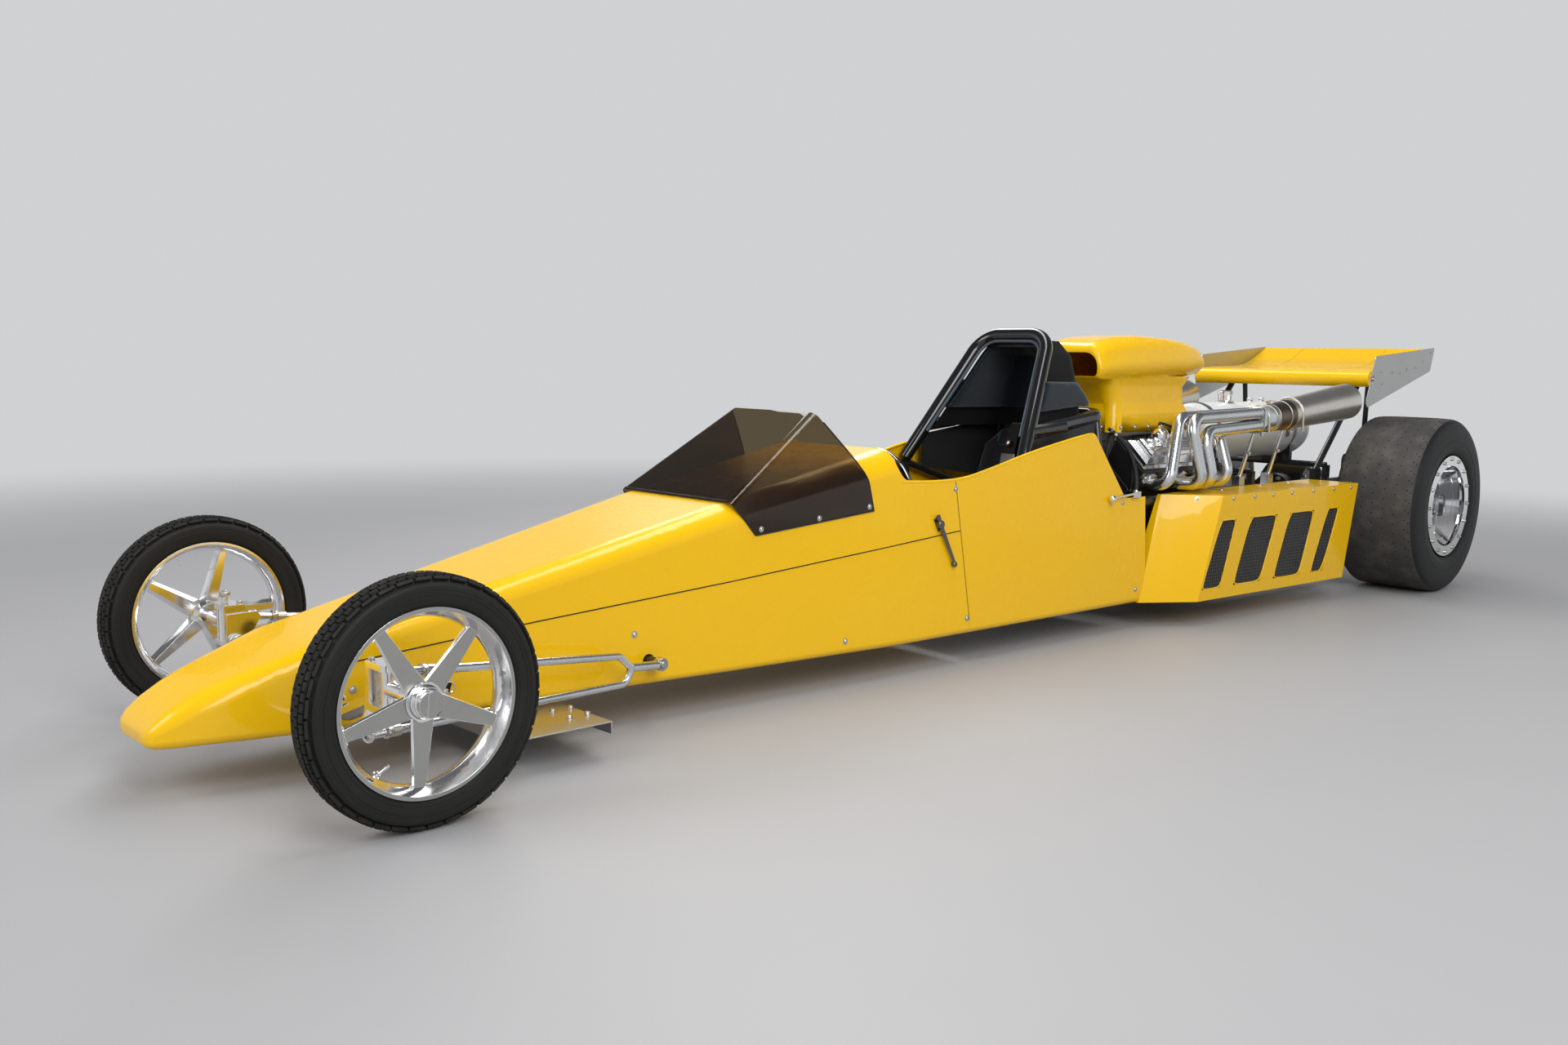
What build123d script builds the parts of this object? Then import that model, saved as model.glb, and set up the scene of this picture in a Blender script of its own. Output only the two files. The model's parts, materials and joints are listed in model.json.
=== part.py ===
from build123d import *
from math import cos, hypot, radians, sin
import os

# A rear-engined drag racing car. X runs forward from the rear axle's centre line,
# Y to the driver's left and Z up from the floor, in millimetres. The last step
# moves every piece so that the origin lies on the floor at the middle of the length.

# Driving dimensions of the running gear
wheelbase = 4640.0
nose_overhang = 360.0
tail_overhang = 460.0
front_track = 1112.0
rear_track = 1052.0
front_tyre_radius = 252.0
front_tyre_width = 82.0
front_rim_radius = 188.0
front_rim_width = 68.0
rear_tyre_radius = 364.0
rear_tyre_width = 348.0
rear_tread_width = 312.0
rear_rim_radius = 210.0
rear_rim_width = 330.0

# Fits and sheet thicknesses
running_fit = 0.05
open_pivot_fit = 0.5
seat_gap = 0.3
panel_gap = 0.8
body_wall = 4.0
screen_wall = 3.0
sheet = 2.0

# Body
ground_clearance = 90.0
screen_front = 3582.0
deck_end = 2990.0
body_joint = 2670.0
body_rear = 1700.0
lower_body_front = wheelbase + 70.0

# Frame tubes
rail_tube = 38.0
brace_tube = 28.0
cage_tube = 45.0
ring_tube = 42.0
rail_height = 145.0
rail_half = 245.0
bay_rail_height = 440.0
bay_rail_half = 262.0

# Front axle and steering
axle_tube = 38.0
axle_low_height = 163.0
kingpin_half = 430.0
kingpin_radius = 8.0
knuckle_radius = 20.0
yoke_width = 50.0
yoke_plate = 14.0
yoke_inner = 370.0
yoke_height = 102.0
spindle_radius = 12.5
steering_arm = 110.0
tie_rod_height = 203.0
tie_rod_diameter = 18.0
rod_tube = 19.0
radius_rod_pivot = (wheelbase - 796.0, 162.0)

# Engine, driveline and exhaust
crank_height = 385.0
bank_angle = 45.0
bore_spacing = 112.0
first_cylinder = 1598.0
cylinders_per_bank = 4
deck_distance = 215.0
head_height = 85.0
head_half = 78.0
header_tube = 44.0
collector_height = 727.0
collector_half = 330.0
collector_front = 1015.0
silencer_diameter = 146.0
runner_height = 50.0
plenum_height = 37.0
tank_diameter = 235.0
tank_post = 56.5
tank_saddle = 28.0
tank_front = 950.0
tank_rear = 60.0
gearbox_diameter = 250.0

# Wing
wing_span = 804.0
wing_plate = 3.0
wing_front = 200.0
wing_nose_height = 885.0

# Tie-down lugs on the rear frame plates
tie_down_x = -110.0
tie_down_half = 245.0
tie_down_height = 304.0
tie_down_radius = 10.0
tie_down_plate = 12.0

car_centre = (wheelbase + nose_overhang - tail_overhang) / 2
front_axle_x = wheelbase
front_half = front_track / 2
rear_half = rear_track / 2
dash_frame = deck_end - 30
seat_frame = body_rear + 205
tank_height = bay_rail_height + rail_tube / 2 + tank_post + tank_saddle + tank_diameter / 2
valley_height = crank_height + (deck_distance + head_half) * cos(radians(bank_angle)) + seat_gap
scoop_base = valley_height + runner_height + plenum_height + seat_gap


def lift(point, axis, at):
    """Place a flat point on the plane that crosses one axis at a given distance."""
    u, v = point
    if axis == "X":
        return (at, u, v)
    if axis == "Y":
        return (u, at, v)
    return (u, v, at)


def outline(points, axis, at=0.0, radii=0.0):
    wire = FilletPolyline(*[lift(p, axis, at) for p in points], radius=radii, close=True)
    return make_face(wire)


def prism(points, axis, low, high, radii=0.0):
    along = {"X": (1, 0, 0), "Y": (0, 1, 0), "Z": (0, 0, 1)}[axis]
    return extrude(outline(points, axis, low, radii), amount=high - low, dir=along)


def block(x_range, y_range, z_range):
    low = Vector(x_range[0], y_range[0], z_range[0])
    high = Vector(x_range[1], y_range[1], z_range[1])
    size = high - low
    return Pos(*low) * Box(size.X, size.Y, size.Z, align=(Align.MIN, Align.MIN, Align.MIN))


def rod(start, end, diameter):
    start = Vector(*start)
    span = Vector(*end) - start
    place = Plane(origin=start, z_dir=span)
    return place * Cylinder(diameter / 2, span.length, align=(Align.CENTER, Align.CENTER, Align.MIN))


def tube(points, diameter, bends):
    path = FilletPolyline(*points, radius=bends)
    return sweep(Plane(origin=path @ 0, z_dir=path % 0) * Circle(diameter / 2), path=path)


def mirrored(shape):
    return mirror(shape, about=Plane.XZ)


def turned(profile, axis_plane):
    """Revolve a profile of (radius, along) points about the plane's normal."""
    face = make_face(Polyline(*[(r, 0, a) for r, a in profile], close=True))
    return axis_plane * revolve(face, axis=Axis.Z)


# Body shell

# Columns: station, floor half width, deck half width, floor height, deck height,
# shoulder radius, chine radius
body_sections = [
    (wheelbase + nose_overhang, 64, 61, 121, 137, 7, 7),
    (wheelbase + nose_overhang - 5, 88, 84, 115, 148, 15, 14),
    (wheelbase + nose_overhang - 18, 102, 98, 111, 163, 24, 18),
    (wheelbase + nose_overhang - 48, 114, 110, 110, 187, 36, 20),
    (wheelbase + nose_overhang - 90, 125, 121, 110, 211, 42, 21),
    (wheelbase + nose_overhang - 132, 135, 131, 110, 229, 44, 21),
    (wheelbase + nose_overhang - 185, 144, 139, 109, 247, 42, 20),
    (wheelbase + 50, 165, 160, 108, 288, 38, 18),
    (screen_front, 258, 246, 98, 541, 60, 18),
    (deck_end, 288, 262, ground_clearance, 663, 80, 20),
    (body_rear, 320, 279, ground_clearance, 860, 80, 20),
]

# The side view of the cockpit opening: (station, height, corner radius)
cockpit_edge = [
    (deck_end, 900, 0),
    (deck_end - 30, 574, 60),
    (body_joint + 30, 566, 200),
    (2354, 638, 0),
    (2003, 697, 34),
    (1822, 464, 40),
    (1300, 464, 0),
    (1300, 900, 0),
]

# The seam between the upper and lower front body: (station, height)
seam = [
    (lower_body_front, 246),
    (front_axle_x - 20, 250),
    (4200, 290),
    (screen_front, 340),
    (2500, 427),
]


def floor_under(station):
    """Height of the body's underside at a station."""
    for front, rear in zip(body_sections, body_sections[1:]):
        if rear[0] <= station <= front[0]:
            share = (station - rear[0]) / (front[0] - rear[0])
            return rear[3] + share * (front[3] - rear[3])
    return ground_clearance


def body_half(station, height):
    """Half width of the body's outer side at a station and height."""
    for front, rear in zip(body_sections, body_sections[1:]):
        if rear[0] <= station <= front[0]:
            share = (station - rear[0]) / (front[0] - rear[0])
            _, floor_half, deck_half, floor, deck, _, _ = [b + share * (a - b) for a, b in zip(front, rear)]
            return floor_half + (deck_half - floor_half) * (height - floor) / (deck - floor)
    raise ValueError("the station lies off the body")


def body_section(row, inset, ahead):
    station, floor_half, deck_half, floor, deck, shoulder, chine = row
    low, high = floor + inset, deck - inset
    wide, narrow = floor_half - inset, deck_half - inset
    radii = [max(chine - inset, 4), max(chine - inset, 4), max(shoulder - inset, 4), max(shoulder - inset, 4)]
    points = [(-wide, low), (wide, low), (narrow, high), (-narrow, high)]
    return outline(points, "X", station + ahead, radii)


def body_loft(inset):
    """The body's form; an inner one starts behind the nose's tip and runs out at the rear."""
    rows = body_sections[1:] if inset > 0 else body_sections
    count = len(rows)
    faces = []
    for index, row in enumerate(rows):
        ahead = 0.0
        if inset > 0 and index == 0:
            ahead = -2.0 * inset
        if inset > 0 and index == count - 1:
            ahead = -1.0
        faces.append(body_section(row, inset, ahead))
    return loft(faces, ruled=True)


def body_shell():
    return body_loft(0.0) - body_loft(body_wall)


def cockpit_cut():
    points = [(x, z) for x, z, _ in cockpit_edge]
    return prism(points, "Y", -400, 400, [r for _, _, r in cockpit_edge])


def behind_joint(shift):
    """Everything behind the upright joint between the front and rear body."""
    low, high = (body_joint - 40 + shift, 0), (body_joint + 60 + shift, 700)
    return prism([low, high, (high[0], 1000), (1000, 1000), (1000, 0)], "Y", -500, 500)


def below_seam(shift):
    points = [(x, z + shift) for x, z in seam]
    ahead = points[0][0] + shift
    return prism([(ahead, 0), (ahead, points[0][1])] + points[1:] + [(2500, 0)], "Y", -400, 400)


def side_hole(station, height, diameter):
    return rod((station, -300, height), (station, 300, height), diameter)


def front_body():
    shell = body_shell() - behind_joint(panel_gap) - cockpit_cut()
    shell -= side_hole(front_axle_x, axle_low_height, axle_tube + 14)
    slot = steering_arm * (1 - cos(radians(15)))
    shell -= side_hole(front_axle_x - steering_arm + slot, tie_rod_height, tie_rod_diameter + 4 * slot + 12)
    shell -= side_hole(radius_rod_pivot[0], radius_rod_pivot[1], 34)
    return shell


def nose_deck(shell):
    return shell - below_seam(panel_gap)


def lower_body(shell):
    return shell & below_seam(0.0)


# Side panels with the engine pods

pod_top = 466.0
pod_floor_half = 262.0
pod_shelf_half = 287.0

# Corners of the pod in plan, going rearward: (floor x, floor y, top x, top y)
pod_corners = [
    (1740, 319, 1600, 301),
    (1552, 440, 1440, 457),
    (540, 502, 440, 498),
]

# Slanted windows: (front top, rear top, front bottom, rear bottom)
pod_windows = [
    (1438, 1337, 1531, 1412),
    (1241, 1053, 1331, 1149),
    (963, 779, 1061, 871),
    (675, 585, 791, 697),
]
window_bottom = 130.0
window_top = 376.0


def pushed(line, distance):
    """Move each edge of an open outline to its right by a distance."""
    moved = []
    for (x0, y0), (x1, y1) in zip(line, line[1:]):
        length = hypot(x1 - x0, y1 - y0)
        nx, ny = (y1 - y0) / length * distance, -(x1 - x0) / length * distance
        moved.append(((x0 + nx, y0 + ny), (x1 + nx, y1 + ny)))
    points = [moved[0][0]]
    for (a, b), (c, d) in zip(moved, moved[1:]):
        points.append(crossing(a, b, c, d))
    return points + [moved[-1][1]]


def crossing(a, b, c, d):
    ux, uy = b[0] - a[0], b[1] - a[1]
    vx, vy = d[0] - c[0], d[1] - c[1]
    t = ((c[0] - a[0]) * vy - (c[1] - a[1]) * vx) / (ux * vy - uy * vx)
    return (a[0] + ux * t, a[1] + uy * t)


def pod_solid(inset, inner):
    """The pod's outer form, drawn in by the inset, out to an inner side line."""
    low = pushed([(row[0], row[1]) for row in pod_corners], -inset)
    high = pushed([(row[2], row[3]) for row in pod_corners], -inset)
    low_inner, high_inner = pod_floor_half - inner, pod_shelf_half - inner
    rear = 60.0 if inner else 0.0
    low[-1] = (low[-1][0] - rear, low[-1][1])
    high[-1] = (high[-1][0] - rear, high[-1][1])
    low += [(low[-1][0], low_inner), (low[0][0], low_inner)]
    high += [(high[-1][0], high_inner), (high[0][0], high_inner)]
    faces = [outline(low, "Z", ground_clearance + inset), outline(high, "Z", pod_top - inset)]
    return loft(faces, ruled=True)


def window_prisms(margin):
    shapes = []
    for front_top, rear_top, front_low, rear_low in pod_windows:
        points = [
            (front_top + margin, window_top + margin),
            (rear_top - margin, window_top + margin),
            (rear_low - margin, window_bottom - margin),
            (front_low + margin, window_bottom - margin),
        ]
        shapes.append(prism(points, "Y", 380, 560))
    return shapes


def side_panel():
    wall = (body_shell() & behind_joint(0.0)) - cockpit_cut()
    wall &= block((body_rear, body_joint + 200), (250, 400), (0, 900))
    ahead_of_flare = [
        (pod_corners[0][0] - 12, 0),
        (pod_corners[0][0] - 12, ground_clearance),
        (pod_corners[0][2] - 12, pod_top),
        (pod_corners[0][2] - 12, 900),
        (3000, 900),
        (3000, 0),
    ]
    wall &= prism(ahead_of_flare, "Y", 200, 400)
    pod = pod_solid(0.0, 0.0) - pod_solid(body_wall, 80.0)
    for shape in window_prisms(0.0):
        pod -= shape
    return wall + pod


def pod_mesh():
    """Screens that lie against the inside of the pod's outer wall."""
    depth = body_wall + seat_gap
    sheet_solid = pod_solid(depth, 60.0) - pod_solid(depth + sheet, 80.0)
    return [sheet_solid & shape for shape in window_prisms(12.0)]


# Windscreen

screen_low_rear = 3065.0
screen_low_front = 3505.0
screen_top_rear = 3244.0
# Columns: station, low height, waist height, top half width, top height, edge radius
screen_sections = [
    (screen_front, 430, 500, 238, 546, 20),
    (screen_low_rear - 20, 470, 592, 150, 888, 44),
]


def screen_loft(inset):
    """The screen lies flush on the body's side, then leans in to its top edge."""
    faces = []
    off = screen_wall + seat_gap - inset
    for station, low, waist, top_half, top, edge in screen_sections:
        near = [
            (body_half(station, low) + off, low),
            (body_half(station, waist) + off, waist),
            (top_half - inset, top - inset),
        ]
        points = near + [(-y, z) for y, z in reversed(near)]
        faces.append(outline(points, "X", station, [0, 40, edge - inset, edge - inset, 40, 0]))
    return loft(faces, ruled=True)


def windscreen():
    side_view = [
        (screen_front, 544.5),
        (screen_low_front, 454),
        (screen_low_rear, 494),
        (screen_low_rear + 24, 600),
        (screen_top_rear, 800),
        (screen_front, 800),
    ]
    screen = screen_loft(0.0) - screen_loft(screen_wall)
    screen &= prism(side_view, "Y", -400, 400, [0, 0, 0, 150, 0, 0])
    return screen - body_loft(-seat_gap)


# Frame and roll cage

hoop_foot = (2360.0, 250.0, 600.0)
hoop_top = (2084.0, 138.0, 1019.5)


def frame_rails():
    rail = tube(
        [
            (front_axle_x - 40, 95, rail_height),
            (body_joint + 80, rail_half, rail_height),
            (260, rail_half, rail_height),
            (60, rail_half + 28, 300),
        ],
        rail_tube,
        [400, 80],
    )
    upper = tube(
        [
            (front_axle_x - steering_arm - 60, 104, rail_height),
            (screen_front - 132, 190, 395),
            (dash_frame, 232, 545),
            (hoop_foot[0] + 12, hoop_foot[1] - 6, 560),
        ],
        brace_tube,
        [300, 150],
    )
    bay = rod((1930, bay_rail_half, bay_rail_height), (-40, bay_rail_half, bay_rail_height), rail_tube)
    side = rail + upper + bay
    uprights = [
        (seat_frame, rail_half, bay_rail_half),
        (1130, rail_half, bay_rail_half),
        (480, rail_half, bay_rail_half),
    ]
    for station, low_half, high_half in uprights:
        side += rod((station, low_half, rail_height), (station, high_half, bay_rail_height), brace_tube)
    side += rod((480, rail_half, rail_height), (1130, bay_rail_half, bay_rail_height), brace_tube)
    side += rod((hoop_foot[0] + 30, rail_half, rail_height), (hoop_foot[0] + 2, hoop_foot[1], 570), rail_tube)
    side += rod((seat_frame, bay_rail_half, bay_rail_height), (hoop_foot[0], hoop_foot[1], 575), brace_tube)
    side += prism([(-110, 270), (-110, 560), (110, 560), (110, 270)], "Y", 272, 282, 30)
    side -= rod((0, 200, rear_tyre_radius), (0, 300, rear_tyre_radius), 92)
    side += tie_down_lug()
    frame = side + mirrored(side)
    wall_reach = body_wall + seat_gap
    tube_top = rail_height + brace_tube / 2
    for station, half in (
        (front_axle_x - 60, 97),
        (radius_rod_pivot[0], 170),
        (deck_end + 10, body_half(deck_end + 10, tube_top) - wall_reach),
        (hoop_foot[0] + 30, rail_half),
        (seat_frame, body_half(seat_frame, tube_top) - wall_reach),
        (480, rail_half),
    ):
        frame += rod((station, -half, rail_height), (station, half, rail_height), brace_tube)
    hoop = [
        (dash_frame, -238, rail_height),
        (dash_frame, -196, 616),
        (dash_frame, 196, 616),
        (dash_frame, 238, rail_height),
    ]
    return frame + tube(hoop, brace_tube, 70)


def tie_down_lug():
    """A lug across the car, welded to the inside of a rear frame plate."""
    low, high = tie_down_height - 28, tie_down_height + 28
    points = [(tie_down_half - 24, low), (tie_down_half - 24, high), (276, high), (276, low)]
    rear, front = tie_down_x - tie_down_plate / 2, tie_down_x + tie_down_plate / 2
    lug = prism(points, "X", rear, front, [20, 20, 0, 0])
    return lug - rod((rear - 5, tie_down_half, tie_down_height), (front + 5, tie_down_half, tie_down_height), 2 * tie_down_radius)


def roll_cage():
    foot, top = hoop_foot, hoop_top
    hoop = tube(
        [(foot[0], foot[1], 590), top, (top[0], -top[1], top[2]), (foot[0], -foot[1], 590)],
        cage_tube,
        90,
    )
    start = 0.24
    join = [foot[i] + (top[i] - foot[i]) * start for i in range(3)]
    ring = tube(
        [
            (join[0], join[1], join[2]),
            (1855, 214, 752),
            (1855, -214, 752),
            (join[0], -join[1], join[2]),
        ],
        ring_tube,
        70,
    )
    cage = hoop + ring
    for side in (1, -1):
        cage += rod((join[0], side * join[1], join[2]), (2120, side * 236, 715), ring_tube)
        cage += rod((1880, side * 200, 745), (seat_frame, side * bay_rail_half, bay_rail_height + 20), brace_tube)
    return cage


def front_plate():
    """Inverted shallow channel that crosses under the body behind the front wheels."""
    low, high, wall = 58.0, 88.0, 3.0
    front, rear = front_axle_x - 310, front_axle_x - 550
    points = [
        (rear, low),
        (rear, high),
        (front, high),
        (front, low),
        (front - wall, low),
        (front - wall, high - wall),
        (rear + wall, high - wall),
        (rear + wall, low),
    ]
    plate = prism(points, "Y", -420, 420)
    middle = (front + rear) / 2
    for side in (-1, 1):
        plate += rod((middle, side * 118, high), (middle, side * 118, floor_under(middle) - seat_gap), 16)
    return plate


# Front axle, radius rods and steering

wheel_height = front_tyre_radius
yoke_low = wheel_height - yoke_height / 2
yoke_high = wheel_height + yoke_height / 2


def front_axle():
    beam = tube(
        [
            (front_axle_x, yoke_inner + 4, wheel_height - 34),
            (front_axle_x, 234, axle_low_height),
            (front_axle_x, -234, axle_low_height),
            (front_axle_x, -yoke_inner - 4, wheel_height - 34),
        ],
        axle_tube,
        60,
    )
    half = yoke_width / 2
    for side in (1, -1):
        back = [side * yoke_inner, side * (yoke_inner + yoke_plate)]
        yoke = block((front_axle_x - half, front_axle_x + half), (min(back), max(back)), (yoke_low, yoke_high))
        reach = [side * yoke_inner, side * (kingpin_half + half)]
        for low in (yoke_low, yoke_high - yoke_plate):
            ear = block((front_axle_x - half, front_axle_x + half), (min(reach), max(reach)), (low, low + yoke_plate))
            corners = ear.edges().filter_by(Axis.Z).sort_by(Axis.Y)
            outer_corners = corners[-2:] if side > 0 else corners[:2]
            yoke += fillet(outer_corners, half - 1)
        beam += yoke
        pin = (front_axle_x, side * kingpin_half)
        beam += rod((*pin, yoke_low - 10), (*pin, yoke_high + 14), 2 * kingpin_radius)
        plate = [side * (yoke_inner - 8), side * yoke_inner]
        gusset = [
            (front_axle_x + 29, 136),
            (front_axle_x + 43, 150),
            (front_axle_x + 25, 196),
            (front_axle_x + 20, 282),
            (front_axle_x - 52, 284),
            (front_axle_x - 62, 270),
            (front_axle_x - 52, 256),
            (front_axle_x - 20, 200),
            (front_axle_x + 14, 140),
        ]
        beam += prism(gusset, "Y", min(plate), max(plate))
        for x, z in ((front_axle_x - 52, 270), (front_axle_x + 29, 150)):
            beam += rod((x, side * (yoke_inner - 4), z), (x, side * (yoke_inner + 26), z), 10)
    low, high = axle_low_height - 26, axle_low_height + 26
    centre = block((front_axle_x - 32, front_axle_x + 22), (-112, 112), (low, high))
    behind = (front_axle_x - 60, front_axle_x - 20.7)
    return beam + centre - block(behind, (-200, 200), (rail_height - 30, rail_height + 30))


def radius_rod():
    """A hairpin rod: two tubes from the axle to one pivot on the body side."""
    eye_y = yoke_inner + 14
    upper_eye = (front_axle_x - 52, eye_y, 270)
    lower_eye = (front_axle_x + 29, eye_y, 150)
    x, z = radius_rod_pivot
    pivot = (x + 12, 286, z)
    bend = (x + 96, 290, z + 6)
    shape = tube([upper_eye, (x + 131, 290, z + 39), bend], rod_tube, 28)
    shape += tube([lower_eye, (x + 111, 290, z - 31), bend], rod_tube, 28)
    shape += rod(bend, pivot, rod_tube + 3)
    for eye_x, y, eye_z in (upper_eye, lower_eye):
        shape += rod((eye_x, y - 7.5, eye_z), (eye_x, y + 7.5, eye_z), 28)
        shape -= rod((eye_x, y - 20, eye_z), (eye_x, y + 20, eye_z), 10 + 2 * running_fit)
    return shape + rod((x, 274, z), (x, 292, z), 34)


def pivot_boss():
    x, z = radius_rod_pivot
    return rod((x, 160, z), (x, 273.7, z), 26)


def knuckle():
    pin = (front_axle_x, kingpin_half)
    low, high = yoke_low + yoke_plate + seat_gap, yoke_high - yoke_plate - seat_gap
    shape = rod((*pin, low), (*pin, high), 2 * knuckle_radius)
    root = (front_axle_x, kingpin_half, wheel_height)
    shape += rod(root, (front_axle_x, front_half + 30, wheel_height), 2 * spindle_radius)
    shape += rod(root, (front_axle_x, front_half - 52, wheel_height), 38)
    arm_low = tie_rod_height + 19
    arm = [
        (front_axle_x, kingpin_half - 12),
        (front_axle_x, kingpin_half + 12),
        (front_axle_x - steering_arm - 12, kingpin_half + 12),
        (front_axle_x - steering_arm - 12, kingpin_half - 12),
    ]
    shape += prism(arm, "Z", arm_low, arm_low + 12, 4)
    shape -= rod((*pin, low - 5), (*pin, high + 5), 2 * (kingpin_radius + running_fit))
    joint = (front_axle_x - steering_arm, kingpin_half)
    return shape, joint, arm_low


def tie_rod():
    x = front_axle_x - steering_arm
    bar = rod((x, -kingpin_half + 12, tie_rod_height), (x, kingpin_half - 12, tie_rod_height), tie_rod_diameter)
    for side in (1, -1):
        centre = (x, side * kingpin_half)
        bar += rod((*centre, tie_rod_height - 12), (*centre, tie_rod_height + 12), 30)
        bar += rod((*centre, tie_rod_height), (*centre, tie_rod_height + 19 + 12 + 8), 12)
    return bar


def front_rim():
    """Five-spoke wheel about its own axis, outer face up."""
    half = front_rim_width / 2
    outer, seat = front_rim_radius, front_rim_radius - 10
    rim = [
        (outer, -half),
        (outer, 5 - half),
        (seat, 8 - half),
        (seat, half - 8),
        (outer, half - 5),
        (outer, half),
        (outer - 8, half),
        (outer - 20, 10),
        (outer - 24, -8),
        (seat - 8, 10 - half),
        (outer - 6, -half),
    ]
    hub_out, hub_in = 30.0, -34.0
    bore = spindle_radius + running_fit
    hub = [
        (bore, hub_in),
        (34, hub_in),
        (38, -8),
        (38, 10),
        (33, 13),
        (33, 18),
        (30, 20),
        (30, hub_out - 2),
        (27, hub_out),
        (27, hub_out + 6),
        (bore, hub_out + 6),
    ]
    wheel = turned(rim, Plane.XY) + turned(hub, Plane.XY)
    # Columns: height, half width at the hub, half width at the rim
    sections = [(-14, 15, 7), (4, 25, 14), (10, 23, 12)]
    faces = []
    for height, root, tip in sections:
        faces.append(outline([(26, -root), (outer - 20, -tip), (outer - 20, tip), (26, root)], "Z", height))
    spoke = loft(faces, ruled=True)
    for index in range(5):
        wheel += Rot(0, 0, 72 * index) * spoke
    wheel -= Cylinder(bore, 2 * (hub_out + 6))
    wheel += Pos(0, 0, hub_out + 6) * Cylinder(27, 5, align=(Align.CENTER, Align.CENTER, Align.MIN))
    cap_bar = block((-26, 26), (-9, 9), (hub_out + 10, hub_out + 14))
    return wheel + (cap_bar & Cylinder(26, 200))


def front_tyre():
    half, outer, rim = front_tyre_width / 2, front_tyre_radius, front_rim_radius
    seat = rim - 10
    bead = front_rim_width / 2 - 8
    side = [
        (seat, bead),
        (rim + 1, bead),
        (rim + 8, half - 2),
        (rim + 22, half),
        (outer - 27, half - 1),
        (outer - 15, half - 6),
        (outer - 6.5, half - 14),
        (outer - 1.5, half - 25),
        (outer, 8),
    ]
    points = side + [(r, -a) for r, a in reversed(side)]
    return turned(points, Plane.XY)


def rear_rim():
    """Deep dished wheel about its own axis, outer face up."""
    half, outer = rear_rim_width / 2, rear_rim_radius
    seat, wall = outer - 20, 6
    points = [
        (outer, -half),
        (outer, 8 - half),
        (seat, 14 - half),
        (seat, half - 14),
        (outer, half - 8),
        (outer, half),
        (seat - 22, half),
        (seat - 22, half - 10),
        (seat - wall, half - 26),
        (seat - wall - 16, 60),
        (seat - wall - 60, 40),
        (84, 30),
        (30, 30),
        (30, 20),
        (84, 20),
        (seat - wall - 70, 30),
        (seat - wall - 22, 10),
        (seat - wall, 14 - half),
        (outer - wall, -half),
    ]
    return turned(points, Plane.XY)


def rear_tyre():
    half, tread = rear_tyre_width / 2, rear_tread_width / 2
    outer, rim = rear_tyre_radius, rear_rim_radius
    seat, bead = rim - 20, rear_rim_width / 2 - 14
    side = [
        (seat, bead),
        (rim + 2, bead),
        (rim + 20, half - 4),
        (rim + 70, half),
        (outer - 34, half - 6),
        (outer - 12, tread + 4),
        (outer - 3, tread - 22),
        (outer, tread - 70),
    ]
    points = side + [(r, -a) for r, a in reversed(side)]
    return turned(points, Plane.XY)


def axle_plane(x, y, z, side):
    """A wheel's own frame: outward along Y, with local X pointing forward."""
    return Plane(origin=(x, y, z), x_dir=(1, 0, 0), z_dir=(0, side, 0))


# Rear axle and driveline

pinion_length = 190.0


def rear_axle_housing():
    tube_end = 330.0
    shape = rod((0, -tube_end, rear_tyre_radius), (0, tube_end, rear_tyre_radius), 90)
    shape += rod((0, -95, rear_tyre_radius), (0, 95, rear_tyre_radius), 270)
    shape += rod((0, 0, rear_tyre_radius), (pinion_length, 0, rear_tyre_radius), 190)
    for side in (1, -1):
        shape += rod((0, side * 318, rear_tyre_radius), (0, side * tube_end, rear_tyre_radius), 120)
    return shape - rod((0, -400, rear_tyre_radius), (0, 400, rear_tyre_radius), 2 * (22 + running_fit))


def rear_axle():
    """Spool shaft with the hub flanges that carry both rear wheels."""
    face = rear_half + 20
    shape = rod((0, -face, rear_tyre_radius), (0, face, rear_tyre_radius), 44)
    for side in (1, -1):
        shape += rod((0, side * 338, rear_tyre_radius), (0, side * face, rear_tyre_radius), 58)
        shape += rod((0, side * (face - 14), rear_tyre_radius), (0, side * face, rear_tyre_radius), 170)
        shape += rod((0, side * face, rear_tyre_radius), (0, side * (face + 40), rear_tyre_radius), 58)
    return shape


gearbox_rear = 650.0


def gearbox():
    bell_length = engine_rear - 6 - 2 * seat_gap - gearbox_rear
    radius = gearbox_diameter / 2
    profile = [
        (0, 0),
        (radius - 30, 0),
        (radius - 30, 20),
        (radius - 22, 24),
        (radius - 22, 300),
        (radius - 6, 306),
        (radius - 6, 322),
        (radius, 330),
        (radius + 36, bell_length - 16),
        (radius + 44, bell_length - 14),
        (radius + 44, bell_length),
        (0, bell_length),
    ]
    shape = turned(profile, Plane(origin=(gearbox_rear, 0, crank_height), z_dir=(1, 0, 0)))
    flange = pinion_length + 2.3
    return shape + rod((flange, 0, rear_tyre_radius), (gearbox_rear + 5, 0, crank_height), 80)


# Engine


def bank_plane(x, side):
    """The bank's own frame: Z out along the cylinders, X along the car."""
    angle = radians(bank_angle)
    return Plane(origin=(x, 0, crank_height), x_dir=(1, 0, 0), z_dir=(0, side * sin(angle), cos(angle)))


def in_bank(side, x_range, across, height):
    """A block in a bank's frame, symmetrical across the bank."""
    return bank_plane(0, side) * block(x_range, across, height)


engine_front = first_cylinder + 75.0
engine_rear = first_cylinder - (cylinders_per_bank - 1) * bore_spacing - 75.0


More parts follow.
